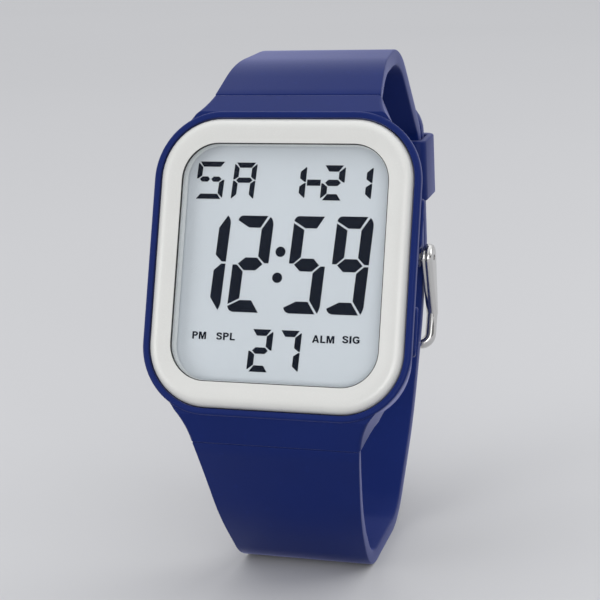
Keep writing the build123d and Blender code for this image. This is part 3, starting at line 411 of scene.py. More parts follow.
def resin_finish(name, colour, roughness, edge_round=0.0):
    """Smooth moulded resin: faint cloudy tone, a matt moulding skin and fine dust."""
    finish = Finish(
        name, colour, roughness, Specular_IOR_Level=0.13, Sheen_Weight=0.40,
        Sheen_Roughness=0.34, Sheen_Tint=(0.50, 0.53, 1.0, 1.0),
    )
    cloud = finish.noise(9.0, 2.0)
    skin = finish.noise(0.22, 4.0)
    speck = finish.ramp(finish.noise(0.9, 1.0), 0.66, 0.74)
    tone = finish.mix(cloud, shade(colour, 0.90), shade(colour, 1.10))
    finish.set("Base Color", finish.mix(speck * 0.10, tone, shade(colour, 1.9)))
    finish.set("Roughness", roughness - 0.05 + cloud * 0.06 + skin * 0.08)
    rounded = None
    if edge_round:
        radius = {"Radius": edge_round * MM}
        rounded = finish.node("ShaderNodeBevel", {"samples": 6}, radius, "Normal")
    finish.bump(skin, 0.006, rounded)
    return finish.material


def pearl_finish(name, colour):
    """Silver-white lacquered ring: fine flakes under a satin coat."""
    finish = Finish(name, colour, 0.36, Metallic=0.12, Specular_IOR_Level=0.5)
    flakes = finish.noise(0.12, 2.0)
    cloud = finish.noise(7.0, 2.0)
    glint = finish.ramp(flakes, 0.52, 0.66)
    tone = finish.mix(cloud, shade(colour, 0.97), shade(colour, 1.03))
    finish.set("Base Color", finish.mix(glint * 0.35, tone, shade(colour, 1.12)))
    finish.set("Roughness", 0.40 - glint * 0.10 + cloud * 0.05)
    finish.bump(flakes, 0.002)
    return finish.material


def glass_finish(name, tint, dull):
    """Clear sheet: what is behind shows through, and the surface mirrors by its angle."""
    finish = Finish(name, tint, dull)
    clear = finish.node("ShaderNodeBsdfTransparent", {}, {"Color": (*tint, 1.0)})
    gloss = finish.node("ShaderNodeBsdfGlossy", {}, {"Roughness": dull})
    smear = finish.noise(5.0, 3.0)
    slant = finish.node("ShaderNodeLayerWeight", {}, {"Blend": 0.5}, "Facing")
    amount = (0.006 + slant**5 * 0.45) * (0.8 + smear * 0.4)
    finish.surface(finish.node("ShaderNodeMixShader", {}, {0: amount, 1: clear, 2: gloss}))
    finish.tree.nodes.remove(finish.shader)
    return finish.material


def reflector_finish(name, colour):
    """Display's rear sheet: pale, evenly silvered, with a very fine grain."""
    finish = Finish(name, colour, 0.55, Specular_IOR_Level=0.3)
    cloud = finish.noise(14.0, 1.0)
    grain = finish.noise(0.10, 2.0)
    tone = finish.mix(cloud, shade(colour, 0.95), shade(colour, 1.04))
    finish.set("Base Color", finish.mix(grain * 0.12, tone, shade(colour, 0.90)))
    finish.bump(grain, 0.002)
    return finish.material


def metal_finish(name, colour, roughness, brush=None):
    """Bare or plated metal: faint handling marks, and hairlines where it is brushed."""
    finish = Finish(name, colour, roughness, Metallic=1.0)
    smudge = finish.noise(3.0, 3.0)
    lines = finish.noise(0.25, 3.0, finish.place(brush or (1.0, 1.0, 1.0)))
    finish.set("Base Color", finish.mix(smudge, shade(colour, 0.90), shade(colour, 1.05)))
    finish.set("Roughness", roughness + smudge * 0.08 + lines * 0.06)
    finish.bump(lines, 0.004 if brush else 0.0015)
    return finish.material


def plain_finish(name, colour, roughness, grain, relief, shine=0.5):
    """Moulded or coated inner piece with a grain of its own scale."""
    finish = Finish(name, colour, roughness, Specular_IOR_Level=shine)
    pattern = finish.noise(grain, 3.0)
    finish.set("Base Color", finish.mix(pattern, shade(colour, 0.85), shade(colour, 1.12)))
    finish.set("Roughness", roughness - 0.06 + pattern * 0.12)
    finish.bump(pattern, relief)
    return finish.material


NAVY = (0.0056, 0.0175, 0.1250)
navy_resin = resin_finish("navy resin", NAVY, 0.40)
case_resin = resin_finish("case resin", NAVY, 0.40, 0.16)
button_resin = resin_finish("button resin", shade(NAVY, 1.1), 0.34, 0.10)
bezel_pearl = pearl_finish("silver-white lacquer", (0.74, 0.74, 0.715))
lens_clear = glass_finish("lens", (0.99, 0.995, 1.0), 0.03)
cell_clear = glass_finish("display glass", (0.985, 0.99, 0.99), 0.12)
reflector = reflector_finish("reflecting sheet", (0.725, 0.752, 0.780))
segment_dark = plain_finish("dark segments", (0.0040, 0.0072, 0.0170), 0.6, 0.3, 0.001, 0.08)
# painted light: pale colour of the band that lightens the display's edge
painted_edge_light = plain_finish("painted light display edge", (0.84, 0.86, 0.86), 0.6, 0.2, 0.001, 0.2)
chrome = metal_finish("chrome plate", (0.64, 0.63, 0.62), 0.12)
steel = metal_finish("brushed steel", (0.58, 0.58, 0.57), 0.26, (0.08, 1.0, 1.0))
brass = metal_finish("brass", (0.62, 0.45, 0.18), 0.24)
rubber = plain_finish("black rubber", (0.012, 0.012, 0.013), 0.7, 0.5, 0.01)
module_white = plain_finish("white moulding", (0.72, 0.72, 0.69), 0.45, 0.6, 0.006)
board_green = plain_finish("green board", (0.015, 0.11, 0.045), 0.38, 1.2, 0.004)
epoxy = plain_finish("epoxy", (0.012, 0.012, 0.012), 0.30, 0.8, 0.01)
guide_clear = plain_finish("light guide", (0.80, 0.83, 0.80), 0.15, 1.5, 0.002)
diode_cream = plain_finish("diode", (0.78, 0.66, 0.30), 0.35, 0.5, 0.003)
connector_rubber = plain_finish("connector rubber", (0.35, 0.17, 0.10), 0.6, 0.2, 0.005)
capacitor_tan = plain_finish("capacitor", (0.42, 0.27, 0.13), 0.45, 0.3, 0.004)
amber_sheet = plain_finish("insulating sheet", (0.48, 0.20, 0.03), 0.28, 2.0, 0.003)

CAD_FINISHES = {
    case_resin: ["case"],
    button_resin: ["button_upper_right", "button_lower_right", "button_upper_left",
                   "button_lower_left"],
    lens_clear: ["lens"],
    reflector: ["display_rear_film", "display_rear_glass"],
    steel: ["case_back", "case_back_screws", "battery", "battery_clamp", "quartz_crystal",
            "spring_bar_tubes", "spring_bar_tips", "spring_bar_springs",
            "button_clip_upper_right", "button_clip_lower_right",
            "button_clip_upper_left", "button_clip_lower_left", "buzzer_spring"],
    brass: ["buzzer_disc", "battery_contact", "contact_strips"],
    rubber: ["lens_gasket", "case_back_gasket", "button_seals"],
    module_white: ["module_frame"],
    board_green: ["circuit_board"],
    epoxy: ["chip_cover"],
    guide_clear: ["light_guide"],
    diode_cream: ["light_diode"],
    connector_rubber: ["zebra_strips"],
    capacitor_tan: ["capacitors"],
    amber_sheet: ["insulator"],
}
for finish, names in CAD_FINISHES.items():
    for name in names:
        for material_slot in frame["nodes"][name].material_slots:
            material_slot.material = finish


# Modelling helpers

def start():
    """Nothing selected and object mode, ready for the next primitive."""
    if bpy.context.mode != "OBJECT":
        bpy.ops.object.mode_set(mode="OBJECT")
    bpy.ops.object.select_all(action="DESELECT")


def only(piece):
    """The piece alone, selected and active."""
    start()
    piece.select_set(True)
    bpy.context.view_layer.objects.active = piece


def edit(piece):
    """The piece in edit mode, selected all over."""
    only(piece)
    bpy.ops.object.mode_set(mode="EDIT")
    bpy.ops.mesh.select_all(action="SELECT")


def pick(piece, chosen, kind="VERT"):
    """Selects the vertices that pass a test, or the edges whose two ends pass it together."""
    only(piece)
    bpy.ops.object.mode_set(mode="EDIT")
    bpy.ops.mesh.select_mode(type=kind)
    bpy.ops.mesh.select_all(action="DESELECT")
    bpy.ops.object.mode_set(mode="OBJECT")
    mesh = piece.data
    if kind == "VERT":
        for vertex in mesh.vertices:
            vertex.select = chosen(vertex.co / MM)
    else:
        for edge in mesh.edges:
            ends = [mesh.vertices[index].co / MM for index in edge.vertices]
            edge.select = chosen(*ends)
    bpy.ops.object.mode_set(mode="EDIT")


def bake_place(piece):
    """Moves the piece's place, turn and scale into its mesh."""
    only(piece)
    bpy.ops.object.transform_apply(location=True, rotation=True, scale=True)


def block(name, size, middle=(0, 0, 0)):
    """Cuboid of that size in millimetres."""
    start()
    bpy.ops.mesh.primitive_cube_add(size=MM, location=[value * MM for value in middle])
    piece = bpy.context.object
    piece.name = name
    piece.scale = size
    bake_place(piece)
    return piece


def rod(name, radius, half_length, point, sides=32):
    """Cylinder along X with its middle at a depth and height."""
    start()
    bpy.ops.mesh.primitive_cylinder_add(
        vertices=sides,
        radius=radius * MM,
        depth=2 * half_length * MM,
        location=(0, point[0] * MM, point[1] * MM),
        rotation=(0, pi / 2, 0),
    )
    piece = bpy.context.object
    piece.name = name
    bake_place(piece)
    return piece


def plate(name, outline, half_width, middle_x=0.0):
    """Flat plate whose side outline is a list of depths and heights."""
    start()
    bpy.ops.mesh.primitive_circle_add(vertices=len(outline), radius=MM, fill_type="NGON")
    piece = bpy.context.object
    piece.name = name
    for vertex, (depth, height) in zip(piece.data.vertices, outline):
        vertex.co = Vector((middle_x - half_width, depth, height)) * MM
    edit(piece)
    bpy.ops.mesh.extrude_region_move(
        TRANSFORM_OT_translate={"value": (2 * half_width * MM, 0, 0)}
    )
    bpy.ops.mesh.select_all(action="SELECT")
    bpy.ops.mesh.normals_make_consistent(inside=False)
    start()
    return piece


def join_solid(piece, tool, operation="UNION"):
    """Adds a tool to a piece, or cuts it out, and removes the tool."""
    only(piece)
    modifier = piece.modifiers.new("solid", "BOOLEAN")
    modifier.operation = operation
    modifier.solver = "EXACT"
    modifier.object = tool
    bpy.ops.object.modifier_apply(modifier=modifier.name)
    bpy.data.objects.remove(tool)


def round_edges(piece, width, sharper_than=40.0, segments=3):
    """Rounds every edge that turns by more than an angle."""
    only(piece)
    modifier = piece.modifiers.new("round", "BEVEL")
    modifier.width = width * MM
    modifier.segments = segments
    modifier.limit_method = "ANGLE"
    modifier.angle_limit = radians(sharper_than)
    bpy.ops.object.modifier_apply(modifier=modifier.name)


def place_on_stand(piece, finish, body, replaced=()):
    """Leans a finished piece back with the watch and fixes it to the body it rides on, if any."""
    only(piece)
    bpy.ops.object.shade_smooth_by_angle(angle=SMOOTH_BELOW)
    piece.matrix_world = watch_place @ piece.matrix_world
    bake_place(piece)
    piece.data.materials.clear()
    piece.data.materials.append(finish)
    if replaced:
        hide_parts(*replaced)
    if body:
        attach(piece, body)


# Lines in the side view, as depths and heights

def on_lap(along, outward):
    """A point of the lapped straps, from the lap's buckle end at the tail's outer face."""
    return (
        LAP_START[0] - along * sin(LAP_LEAN) + outward * cos(LAP_LEAN),
        LAP_START[1] + along * cos(LAP_LEAN) + outward * sin(LAP_LEAN),
    )


def direction(first, second):
    """Angle of the line from one point to another."""
    return atan2(second[1] - first[1], second[0] - first[0])


def moved(point, angle, distance):
    """The point moved that far at an angle."""
    return (point[0] + distance * cos(angle), point[1] + distance * sin(angle))


def half_width_at(depth):
    """Half-width of the straps at a depth: an arc from the seam, then straight sides."""
    if depth >= STRAIGHT_FROM:
        return STRAP_HALF_WIDTH
    if depth >= TAPER_END[1]:
        share = (depth - TAPER_END[1]) / (STRAIGHT_FROM - TAPER_END[1])
        return TAPER_END[0] + share * (STRAP_HALF_WIDTH - TAPER_END[0])
    middle, radius = TAPER_CIRCLE
    return middle[0] - sqrt(max(radius**2 - (depth - middle[1]) ** 2, 0.0))


def circle_through(first, second, third):
    """Middle and radius of the circle through three points."""
    ax, ay = first
    bx, by = second
    cx, cy = third
    turn = 2 * (ax * (by - cy) + bx * (cy - ay) + cx * (ay - by))
    a, b, c = ax**2 + ay**2, bx**2 + by**2, cx**2 + cy**2
    x = (a * (by - cy) + b * (cy - ay) + c * (ay - by)) / turn
    y = (a * (cx - bx) + b * (ax - cx) + c * (bx - ax)) / turn
    return (x, y), hypot(ax - x, ay - y)


TAPER_CIRCLE = circle_through((SEAM_HALF_WIDTH, SEAM_UPPER[0]), WAIST, TAPER_END)


def swept(name, corners, radii, thickness, wrist_side, half_width, step=None):
    """Bar of rectangular section whose outer face follows a line with rounded corners.

    wrist_side is 1 where the thickness lies left of the line's direction and -1 right of it.
    The straight runs are divided every step millimetres.
    """
    angle = direction(corners[0], corners[1])
    inward = angle + wrist_side * pi / 2
    middle = moved(corners[0], inward, thickness / 2)
    start()
    bpy.ops.mesh.primitive_plane_add(
        size=MM,
        location=(0, middle[0] * MM, middle[1] * MM),
        rotation=(angle - pi / 2, 0, 0),
    )
    piece = bpy.context.object
    piece.name = name
    piece.scale = (2 * half_width, thickness, 1)
    bake_place(piece)
    edit(piece)
    here = corners[0]
    for place, corner in enumerate(corners[1:], start=1):
        last = place == len(corners) - 1
        angle = direction(corners[place - 1], corner)
        turn = 0.0
        cut = 0.0
        if not last:
            after = direction(corner, corners[place + 1])
            turn = (after - angle + pi) % (2 * pi) - pi
            cut = radii[place - 1] * tan(abs(turn) / 2)
        run_end = moved(corner, angle, -cut)
        run = hypot(run_end[0] - here[0], run_end[1] - here[1])
        pieces_in_run = max(1, ceil(run / step)) if step and not last else 1
        for _ in range(pieces_in_run):
            bpy.ops.mesh.extrude_region_move(
                TRANSFORM_OT_translate={
                    "value": (0, (run_end[0] - here[0]) / pieces_in_run * MM,
                              (run_end[1] - here[1]) / pieces_in_run * MM)
                }
            )
        if turn:
            side = 1 if turn > 0 else -1
            centre = moved(run_end, angle + side * pi / 2, radii[place - 1])
            bpy.ops.mesh.spin(
                steps=max(2, ceil(abs(degrees(turn)) / SPIN_STEP)),
                angle=-turn,
                center=(0, centre[0] * MM, centre[1] * MM),
                axis=(1, 0, 0),
            )
        here = moved(corner, after, cut) if turn else run_end
    bpy.ops.mesh.select_all(action="SELECT")
    bpy.ops.mesh.remove_doubles(threshold=MERGE * MM)
    bpy.ops.mesh.normals_make_consistent(inside=False)
    start()
    return piece


def taper(piece):
    """Draws a strap in to its width at each depth."""
    for vertex in piece.data.vertices:
        side = 1 if vertex.co.x > 0 else -1
        vertex.co.x = side * half_width_at(vertex.co.y / MM) * MM


def knuckle(thickness, seam, angle, wrist_side):
    """Rounded end of a strap round its spring bar, with the web that carries it."""
    inward = angle + wrist_side * pi / 2

    def at(along, sink):
        return moved(moved(seam, angle, along), inward, sink)

    bar = at(-BAR_SETBACK, BAR_SINK)
    top = BAR_SINK - KNUCKLE_RADIUS
    web = plate(
        "web",
        [
            at(-BAR_SETBACK, top),
            at(KNUCKLE_BLEND, top),
            at(KNUCKLE_BLEND, thickness),
            at(0, BAR_SINK + KNUCKLE_RADIUS),
            at(-BAR_SETBACK, BAR_SINK + KNUCKLE_RADIUS),
        ],
        KNUCKLE_HALF_WIDTH,
    )
    join_solid(web, rod("barrel", KNUCKLE_RADIUS, KNUCKLE_HALF_WIDTH, bar))
    return web, bar


# Short strap, from the upper seam over the top and down to the buckle bar
short_corners = [
    SEAM_UPPER,
    *SHORT_BENDS,
    on_lap(LAP_BEND, -LAP_OFFSET),
    on_lap(LAP_OFFSET * tan(LAP_LEAN / 2), -LAP_OFFSET),
    (BUCKLE_BAR[0] + WRAP_RADIUS, BUCKLE_BAR[1]),
]
short_start = direction(short_corners[0], short_corners[1])
short_corners[0] = moved(SEAM_UPPER, short_start, SEAM_GAP)
short_strap = swept(
    "strap_short", short_corners, [*SHORT_BEND_RADII, TAIL_BEND_RADIUS - LAP_OFFSET],
    SHORT_THICKNESS, -1, SEAM_HALF_WIDTH, RUN_STEP,
)
taper(short_strap)
round_edges(short_strap, STRAP_EDGE_ROUND)
wrap = plate(
    "wrap",
    [
        (BUCKLE_BAR[0] + WRAP_REAR[0], BUCKLE_BAR[1] + WRAP_REAR[1]),
        on_lap(LAP_OFFSET, -LAP_OFFSET - SHORT_THICKNESS / 2),
        on_lap(LAP_OFFSET, -LAP_OFFSET - SHORT_THICKNESS + WRAP_SINK),
        (BUCKLE_BAR[0] + WRAP_FRONT[0], BUCKLE_BAR[1] + WRAP_FRONT[1]),
    ],
    WRAP_HALF_WIDTH - WRAP_SINK,
)
join_solid(wrap, rod("wrap_round", WRAP_RADIUS, WRAP_HALF_WIDTH, BUCKLE_BAR, 48))
join_solid(short_strap, wrap)
upper_knuckle, upper_bar = knuckle(SHORT_THICKNESS, SEAM_UPPER, short_start, -1)
join_solid(short_strap, upper_knuckle)
for bar_point in (upper_bar, BUCKLE_BAR):
    join_solid(short_strap, rod("bore", BAR_BORE, 2 * STRAP_HALF_WIDTH, bar_point), "DIFFERENCE")
join_solid(
    short_strap,
    block("slot", (SLEEVE_SLOT[0], 4 * WRAP_RADIUS, SLEEVE_SLOT[1]), (0, *BUCKLE_BAR)),
    "DIFFERENCE",
)
place_on_stand(short_strap, navy_resin, "watch", ["short_strap"])

# Long strap, from the lower seam under the loop and up to its rounded tip
long_corners = [SEAM_LOWER, *LONG_BENDS, LAP_START, on_lap(TAIL_LENGTH, 0)]
long_start = direction(long_corners[0], long_corners[1])
long_corners[0] = moved(SEAM_LOWER, long_start, SEAM_GAP)
long_strap = swept(
    "strap_long", long_corners, [*LONG_BEND_RADII, TAIL_BEND_RADIUS], LONG_THICKNESS, 1,
    SEAM_HALF_WIDTH, RUN_STEP,
)
taper(long_strap)
tip = on_lap(TAIL_LENGTH, -LONG_THICKNESS / 2)


def at_tip_corner(first, second):
    """True for the two short edges through the thickness at the strap's tip."""
    near = all(hypot(end.y - tip[0], end.z - tip[1]) < LONG_THICKNESS for end in (first, second))
    return near and abs(first.x - second.x) < STRAP_EDGE_ROUND


pick(long_strap, at_tip_corner, "EDGE")
bpy.ops.mesh.bevel(offset=TAIL_TIP_ROUND * MM, segments=10, affect="EDGES")
round_edges(long_strap, STRAP_EDGE_ROUND)
lower_knuckle, lower_bar = knuckle(LONG_THICKNESS, SEAM_LOWER, long_start, 1)
join_solid(long_strap, lower_knuckle)
join_solid(long_strap, rod("bore", BAR_BORE, 2 * STRAP_HALF_WIDTH, lower_bar), "DIFFERENCE")

start()
bpy.ops.mesh.primitive_cylinder_add(
    vertices=24, radius=HOLE_WIDTH / 2 * MM, depth=PUNCH_LENGTH * MM, rotation=(pi / 2, 0, 0)
)
punch = bpy.context.object
bake_place(punch)
for end in (1, -1):
    pick(punch, lambda point: end * point.z > 0.01)
    bpy.ops.transform.translate(value=(0, 0, end * (HOLE_LENGTH - HOLE_WIDTH) / 2 * MM))
for number in HOLE_STEPS:
    hole = punch.copy()
    hole.data = punch.data.copy()
    bpy.context.collection.objects.link(hole)
    hole.location = (0, PUNCH_DEPTH * MM, (USED_HOLE_HEIGHT + number * HOLE_PITCH) * MM)
    bake_place(hole)
    join_solid(long_strap, hole, "DIFFERENCE")
bpy.data.objects.remove(punch)
place_on_stand(long_strap, navy_resin, "watch", ["long_strap"])

# Keeper, a boxy loop round both straps
keeper = block("keeper_loop", KEEPER_SIZE)
pick(keeper, lambda first, second: abs(first.z - second.z) > KEEPER_CORNER, "EDGE")
bpy.ops.mesh.bevel(offset=KEEPER_CORNER * MM, segments=6, affect="EDGES")
join_solid(keeper, block("opening", (*KEEPER_OPENING, 2 * KEEPER_SIZE[2])), "DIFFERENCE")
round_edges(keeper, KEEPER_EDGE_ROUND)
keeper_middle = on_lap(KEEPER_ALONG, -(LAP_OFFSET + SHORT_THICKNESS) / 2)
keeper.rotation_euler = (LAP_LEAN, 0, 0)
keeper.location = (0, keeper_middle[0] * MM, keeper_middle[1] * MM)
bake_place(keeper)
place_on_stand(keeper, navy_resin, "keeper", ["keeper"])


# Buckle frame: two arms that hang on the bar and a round crossbar
def hull_outline(first, first_radius, second, second_radius, steps=12):
    """Side outline of a tapering arm round two circles."""
    angle = direction(first, second)
    distance = hypot(second[0] - first[0], second[1] - first[1])
    spread = pi / 2 + asin((second_radius - first_radius) / distance)
    shares = [step / steps for step in range(steps + 1)]
    return [
        moved(first, angle + spread + 2 * (pi - spread) * share, first_radius)
        for share in shares
    ] + [
        moved(second, angle - spread + 2 * spread * share, second_radius) for share in shares
    ]


# the wire's oval section at the right arm, drawn down and round to the middle
drop = direction(ELBOW, CROSSBAR)
start()
bpy.ops.mesh.primitive_circle_add(
    vertices=20,
    radius=ARM_RADIUS * MM,
    fill_type="NGON",
    location=(ARM_MIDDLE_X * MM, ELBOW[0] * MM, ELBOW[1] * MM),
    rotation=(drop + pi / 2, 0, 0),
)
buckle = bpy.context.object
buckle.name = "buckle_loop"
buckle.scale = (ARM_HALF_THICKNESS / ARM_RADIUS, 1, 1)
bake_place(buckle)
turn_radius = BUCKLE_CORNER - ARM_RADIUS
bend_start = moved(CROSSBAR, drop, -turn_radius)
edit(buckle)
bpy.ops.mesh.extrude_region_move(
    TRANSFORM_OT_translate={
        "value": (0, (bend_start[0] - ELBOW[0]) * MM, (bend_start[1] - ELBOW[1]) * MM)
    }
)
bpy.ops.mesh.spin(
    steps=8,
    angle=-pi / 2,
    center=((ARM_MIDDLE_X - turn_radius) * MM, bend_start[0] * MM, bend_start[1] * MM),
    axis=(0, -sin(drop), cos(drop)),
)
bpy.ops.mesh.extrude_region_move(
    TRANSFORM_OT_translate={"value": (-(ARM_MIDDLE_X - turn_radius) * MM, 0, 0)}
)
bpy.ops.mesh.delete(type="ONLY_FACE")
bpy.ops.mesh.select_all(action="SELECT")
bpy.ops.mesh.remove_doubles(threshold=MERGE * MM)
arm = plate(
    "arm", hull_outline(BUCKLE_BAR, LUG_RADIUS, ELBOW, ARM_RADIUS), ARM_HALF_THICKNESS,
    ARM_MIDDLE_X,
)
round_edges(arm, ARM_EDGE_ROUND, 60.0, 6)
for half in (buckle, arm):
    only(half)
    mirror = half.modifiers.new("mirror", "MIRROR")
    mirror.merge_threshold = 2 * MERGE * MM
    bpy.ops.object.modifier_apply(modifier=mirror.name)
edit(buckle)
bpy.ops.mesh.normals_make_consistent(inside=False)
join_solid(buckle, arm)
join_solid(buckle, rod("bore", LUG_BORE, 2 * ARM_MIDDLE_X, BUCKLE_BAR, 20), "DIFFERENCE")
place_on_stand(buckle, chrome, "buckle_frame", ["buckle_frame"])

# Tongue: a sleeve on the bar, up through the strap's hole and over the crossbar
tongue_angle = direction(BUCKLE_BAR, TONGUE_KNEE)
tongue = swept(
    "tongue",
    [
        moved(BUCKLE_BAR, tongue_angle + pi / 2, TONGUE_THICKNESS / 2),
        moved(TONGUE_KNEE, tongue_angle / 2, TONGUE_THICKNESS / 2),
        moved(TONGUE_TIP, 0, TONGUE_THICKNESS / 2),
    ],
    [TONGUE_BEND_RADIUS],
    TONGUE_THICKNESS,
    -1,
    TONGUE_HALF_WIDTH,
)
round_edges(tongue, TONGUE_EDGE_ROUND, segments=4)
join_solid(tongue, rod("sleeve", SLEEVE_RADIUS, TONGUE_HALF_WIDTH, BUCKLE_BAR))
join_solid(tongue, rod("bore", BAR_BORE, 2 * TONGUE_HALF_WIDTH, BUCKLE_BAR), "DIFFERENCE")
place_on_stand(tongue, chrome, "buckle_tongue", ["buckle_tongue"])

# Return springs of the buttons, which shorten when a button is pressed
start()
bpy.ops.mesh.primitive_circle_add(
    vertices=10, radius=SPRING_WIRE * MM, location=(SPRING_RADIUS * MM, 0, 0),
    rotation=(pi / 2, 0, 0),
)
coil = bpy.context.object
bake_place(coil)
winding = coil.modifiers.new("winding", "SCREW")
winding.axis = "Z"
winding.iterations = SPRING_TURNS
winding.screw_offset = (SPRING_SPAN[1] - SPRING_SPAN[0] - 2 * SPRING_WIRE) / SPRING_TURNS * MM
winding.steps = winding.render_steps = SPRING_STEPS
bpy.ops.object.modifier_apply(modifier=winding.name)
edit(coil)
bpy.ops.mesh.fill_holes(sides=0)
bpy.ops.mesh.normals_make_consistent(inside=False)
for place, (side, height) in BUTTON_PLACES.items():
    only(coil)
    bpy.ops.object.duplicate()
    spring = bpy.context.object
    spring.name = "return_spring_" + place
    spring.rotation_euler = (0, side * pi / 2, 0)
    spring.location = (
        side * (SPRING_SPAN[0] + SPRING_WIRE) * MM, BUTTON_DEPTH * MM, height * MM
    )
    bake_place(spring)
    place_on_stand(spring, steel, None, ["button_spring_" + place])
    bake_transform(spring)
bpy.data.objects.remove(coil)


# Bezel, and a thin black ring between it and the lens that paints the shade of their gap as a
# dark line

def rounded_plate(name, size, corner, depths, segments=14):
    """Rectangular plate with rounded corners, from one depth to another."""
    thickness = depths[1] - depths[0]
    piece = block(name, (size[0], thickness, size[1]), (0, sum(depths) / 2, 0))
    pick(piece, lambda first, second: abs(first.y - second.y) > thickness / 2, "EDGE")
    bpy.ops.mesh.bevel(offset=corner * MM, segments=segments, affect="EDGES")
    start()
    return piece


def cut_window(piece, size, corner, depths=CUT_DEPTHS):
    """Cuts a rectangle with rounded corners out of a piece."""
    join_solid(piece, rounded_plate("window", size, corner, depths), "DIFFERENCE")


def front_face(piece):
    """Selects the faces at the front of a piece."""
    only(piece)
    front = min(vertex.co.y for vertex in piece.data.vertices)
    bpy.ops.object.mode_set(mode="EDIT")
    bpy.ops.mesh.select_mode(type="FACE")
    bpy.ops.mesh.select_all(action="DESELECT")
    bpy.ops.object.mode_set(mode="OBJECT")
    for face in piece.data.polygons:
        face.select = face.normal.y < -0.99 and face.center.y < front + 0.01 * MM
    bpy.ops.object.mode_set(mode="EDIT")


bezel_sides = (BEZEL_OUTER_ROUND, BEZEL_THICKNESS)
bezel = rounded_plate("bezel_ring", BEZEL_SIZE, BEZEL_CORNER, bezel_sides)
front_face(bezel)
for step in range(BEZEL_ROUND_STEPS):
    here, there = (pi / 2 * number / BEZEL_ROUND_STEPS for number in (step, step + 1))
    bpy.ops.mesh.inset(
        thickness=BEZEL_OUTER_ROUND * (cos(here) - cos(there)) * MM,
        depth=BEZEL_OUTER_ROUND * (sin(there) - sin(here)) * MM,
    )
for inward, sunk in BEZEL_CROWN:
    bpy.ops.mesh.inset(thickness=inward * MM, depth=-sunk * MM)
cut_window(bezel, WINDOW_SIZE, WINDOW_CORNER)
cut_window(
    bezel, [side + 2 * REBATE_REACH for side in WINDOW_SIZE], WINDOW_CORNER + REBATE_REACH,
    (REBATE_DEPTH, CUT_DEPTHS[1]),
)
round_edges(bezel, BEZEL_EDGE_ROUND, 60.0, 2)
place_on_stand(bezel, bezel_pearl, "watch", ["bezel"])

# painted shade: a black ring put where the gap between bezel and lens lies in shade
gap_shade_ring = rounded_plate("window_gap_shade", WINDOW_SIZE, WINDOW_CORNER, GAP_SHADE_DEPTH)
cut_window(gap_shade_ring, [side - 2 * GAP_SHADE_WIDTH for side in WINDOW_SIZE], WINDOW_CORNER - GAP_SHADE_WIDTH)
place_on_stand(gap_shade_ring, rubber, "watch")

# Front glass of the display with its film laminated on
cell = rounded_plate("display_front", GLASS_SIZE, GLASS_CORNER, GLASS_DEPTHS, 12)
place_on_stand(
    cell, cell_clear, "watch", ["display_front_film", "display_front_glass"]
)

# Pale band round the display's edge, just behind the lens: painted light that stands for the
# reflection of the lens's inner edge and lightens the bezel's shade on the display
border = rounded_plate("display_edge_painted_light", BORDER_OUTSIDE, BORDER_CORNER, BORDER_DEPTHS)
cut_window(border, BORDER_INSIDE, BORDER_CORNER, BORDER_CUT)
place_on_stand(border, painted_edge_light, "watch")


# Figures of the display

def slanted(outline, middle, base, height, slant):
    """An outline set at a middle and base, and leaned over by an angle."""
    lean = tan(radians(slant))
    return [(middle + x + lean * (up - height / 2), base + up) for x, up in outline]


def small_segments(height, centre, width, stroke, corner):
    """Outlines of the segments of a small figure, each side of its middle line."""
    half, bar, gap = width / 2, stroke / 2, SEGMENT_GAP
    inner = half - stroke

    def upright(side, end, inward):
        """Left or right segment between one end of the figure and its middle bar."""
        return [
            (side * (half - gap), end + inward * (corner - gap / 2)),
            (side * half, end + inward * (corner + gap / 2)),
            (side * half, centre - inward * gap),
            (side * (half - SEGMENT_TIP), centre - inward * gap),
            (side * inner, centre - inward * (bar + 1.5 * gap)),
            (side * inner, end + inward * (stroke + gap)),
        ]

    def level(end, inward):
        """Top or bottom segment."""
        return [
            (-half + corner, end),
            (half - corner, end),
            (inner - gap, end + inward * stroke),
            (gap - inner, end + inward * stroke),
        ]

    def across(side, reach, shoulder):
        """Middle segment, or the half of it from one side to a point near the middle."""
        return [
            (side * (half - bar - gap), centre),
            (side * (inner - gap), centre + bar),
            (side * shoulder, centre + bar),
            (side * reach, centre),
            (side * shoulder, centre - bar),
            (side * (inner - gap), centre - bar),
        ]

    return {
        "a": level(height, -1),
        "b": upright(1, height, -1),
        "c": upright(1, 0, 1),
        "d": level(0, 1),
        "e": upright(-1, 0, 1),
        "f": upright(-1, height, -1),
        "g": across(1, bar + gap - half, gap - inner),
        "h": across(-1, *SPLIT_BAR),
        "i": across(1, *SPLIT_BAR),
    }


def small_figures(figures):
    """Outlines of all lit segments of some small figures."""
    outlines = []
    for middle, base, height, centre, width, stroke, corner, slant, lit in figures:
        shapes = small_segments(height, centre, width, stroke, corner)
        outlines += [slanted(shapes[one], middle, base, height, slant) for one in lit]
    return outlines


def printed(name, outlines, replaced=()):
    """One thin print made of flat outlines, given as distances across and up the face."""
    prints = []
    for outline in outlines:
        start()
        bpy.ops.mesh.primitive_circle_add(vertices=len(outline), radius=MM, fill_type="NGON")
        mark = bpy.context.object
        for vertex, (x, up) in zip(mark.data.vertices, outline):
            vertex.co = Vector((x, PRINT_DEPTH, up)) * MM
        edit(mark)
        bpy.ops.mesh.extrude_region_move(
            TRANSFORM_OT_translate={"value": (0, PRINT_THICKNESS * MM, 0)}
        )
        bpy.ops.mesh.select_all(action="SELECT")
        bpy.ops.mesh.normals_make_consistent(inside=False)
        start()
        prints.append(mark)
    for mark in prints:
        mark.select_set(True)
    bpy.context.view_layer.objects.active = prints[0]
    bpy.ops.object.join()
    prints[0].name = name
    place_on_stand(prints[0], segment_dark, "watch", replaced)


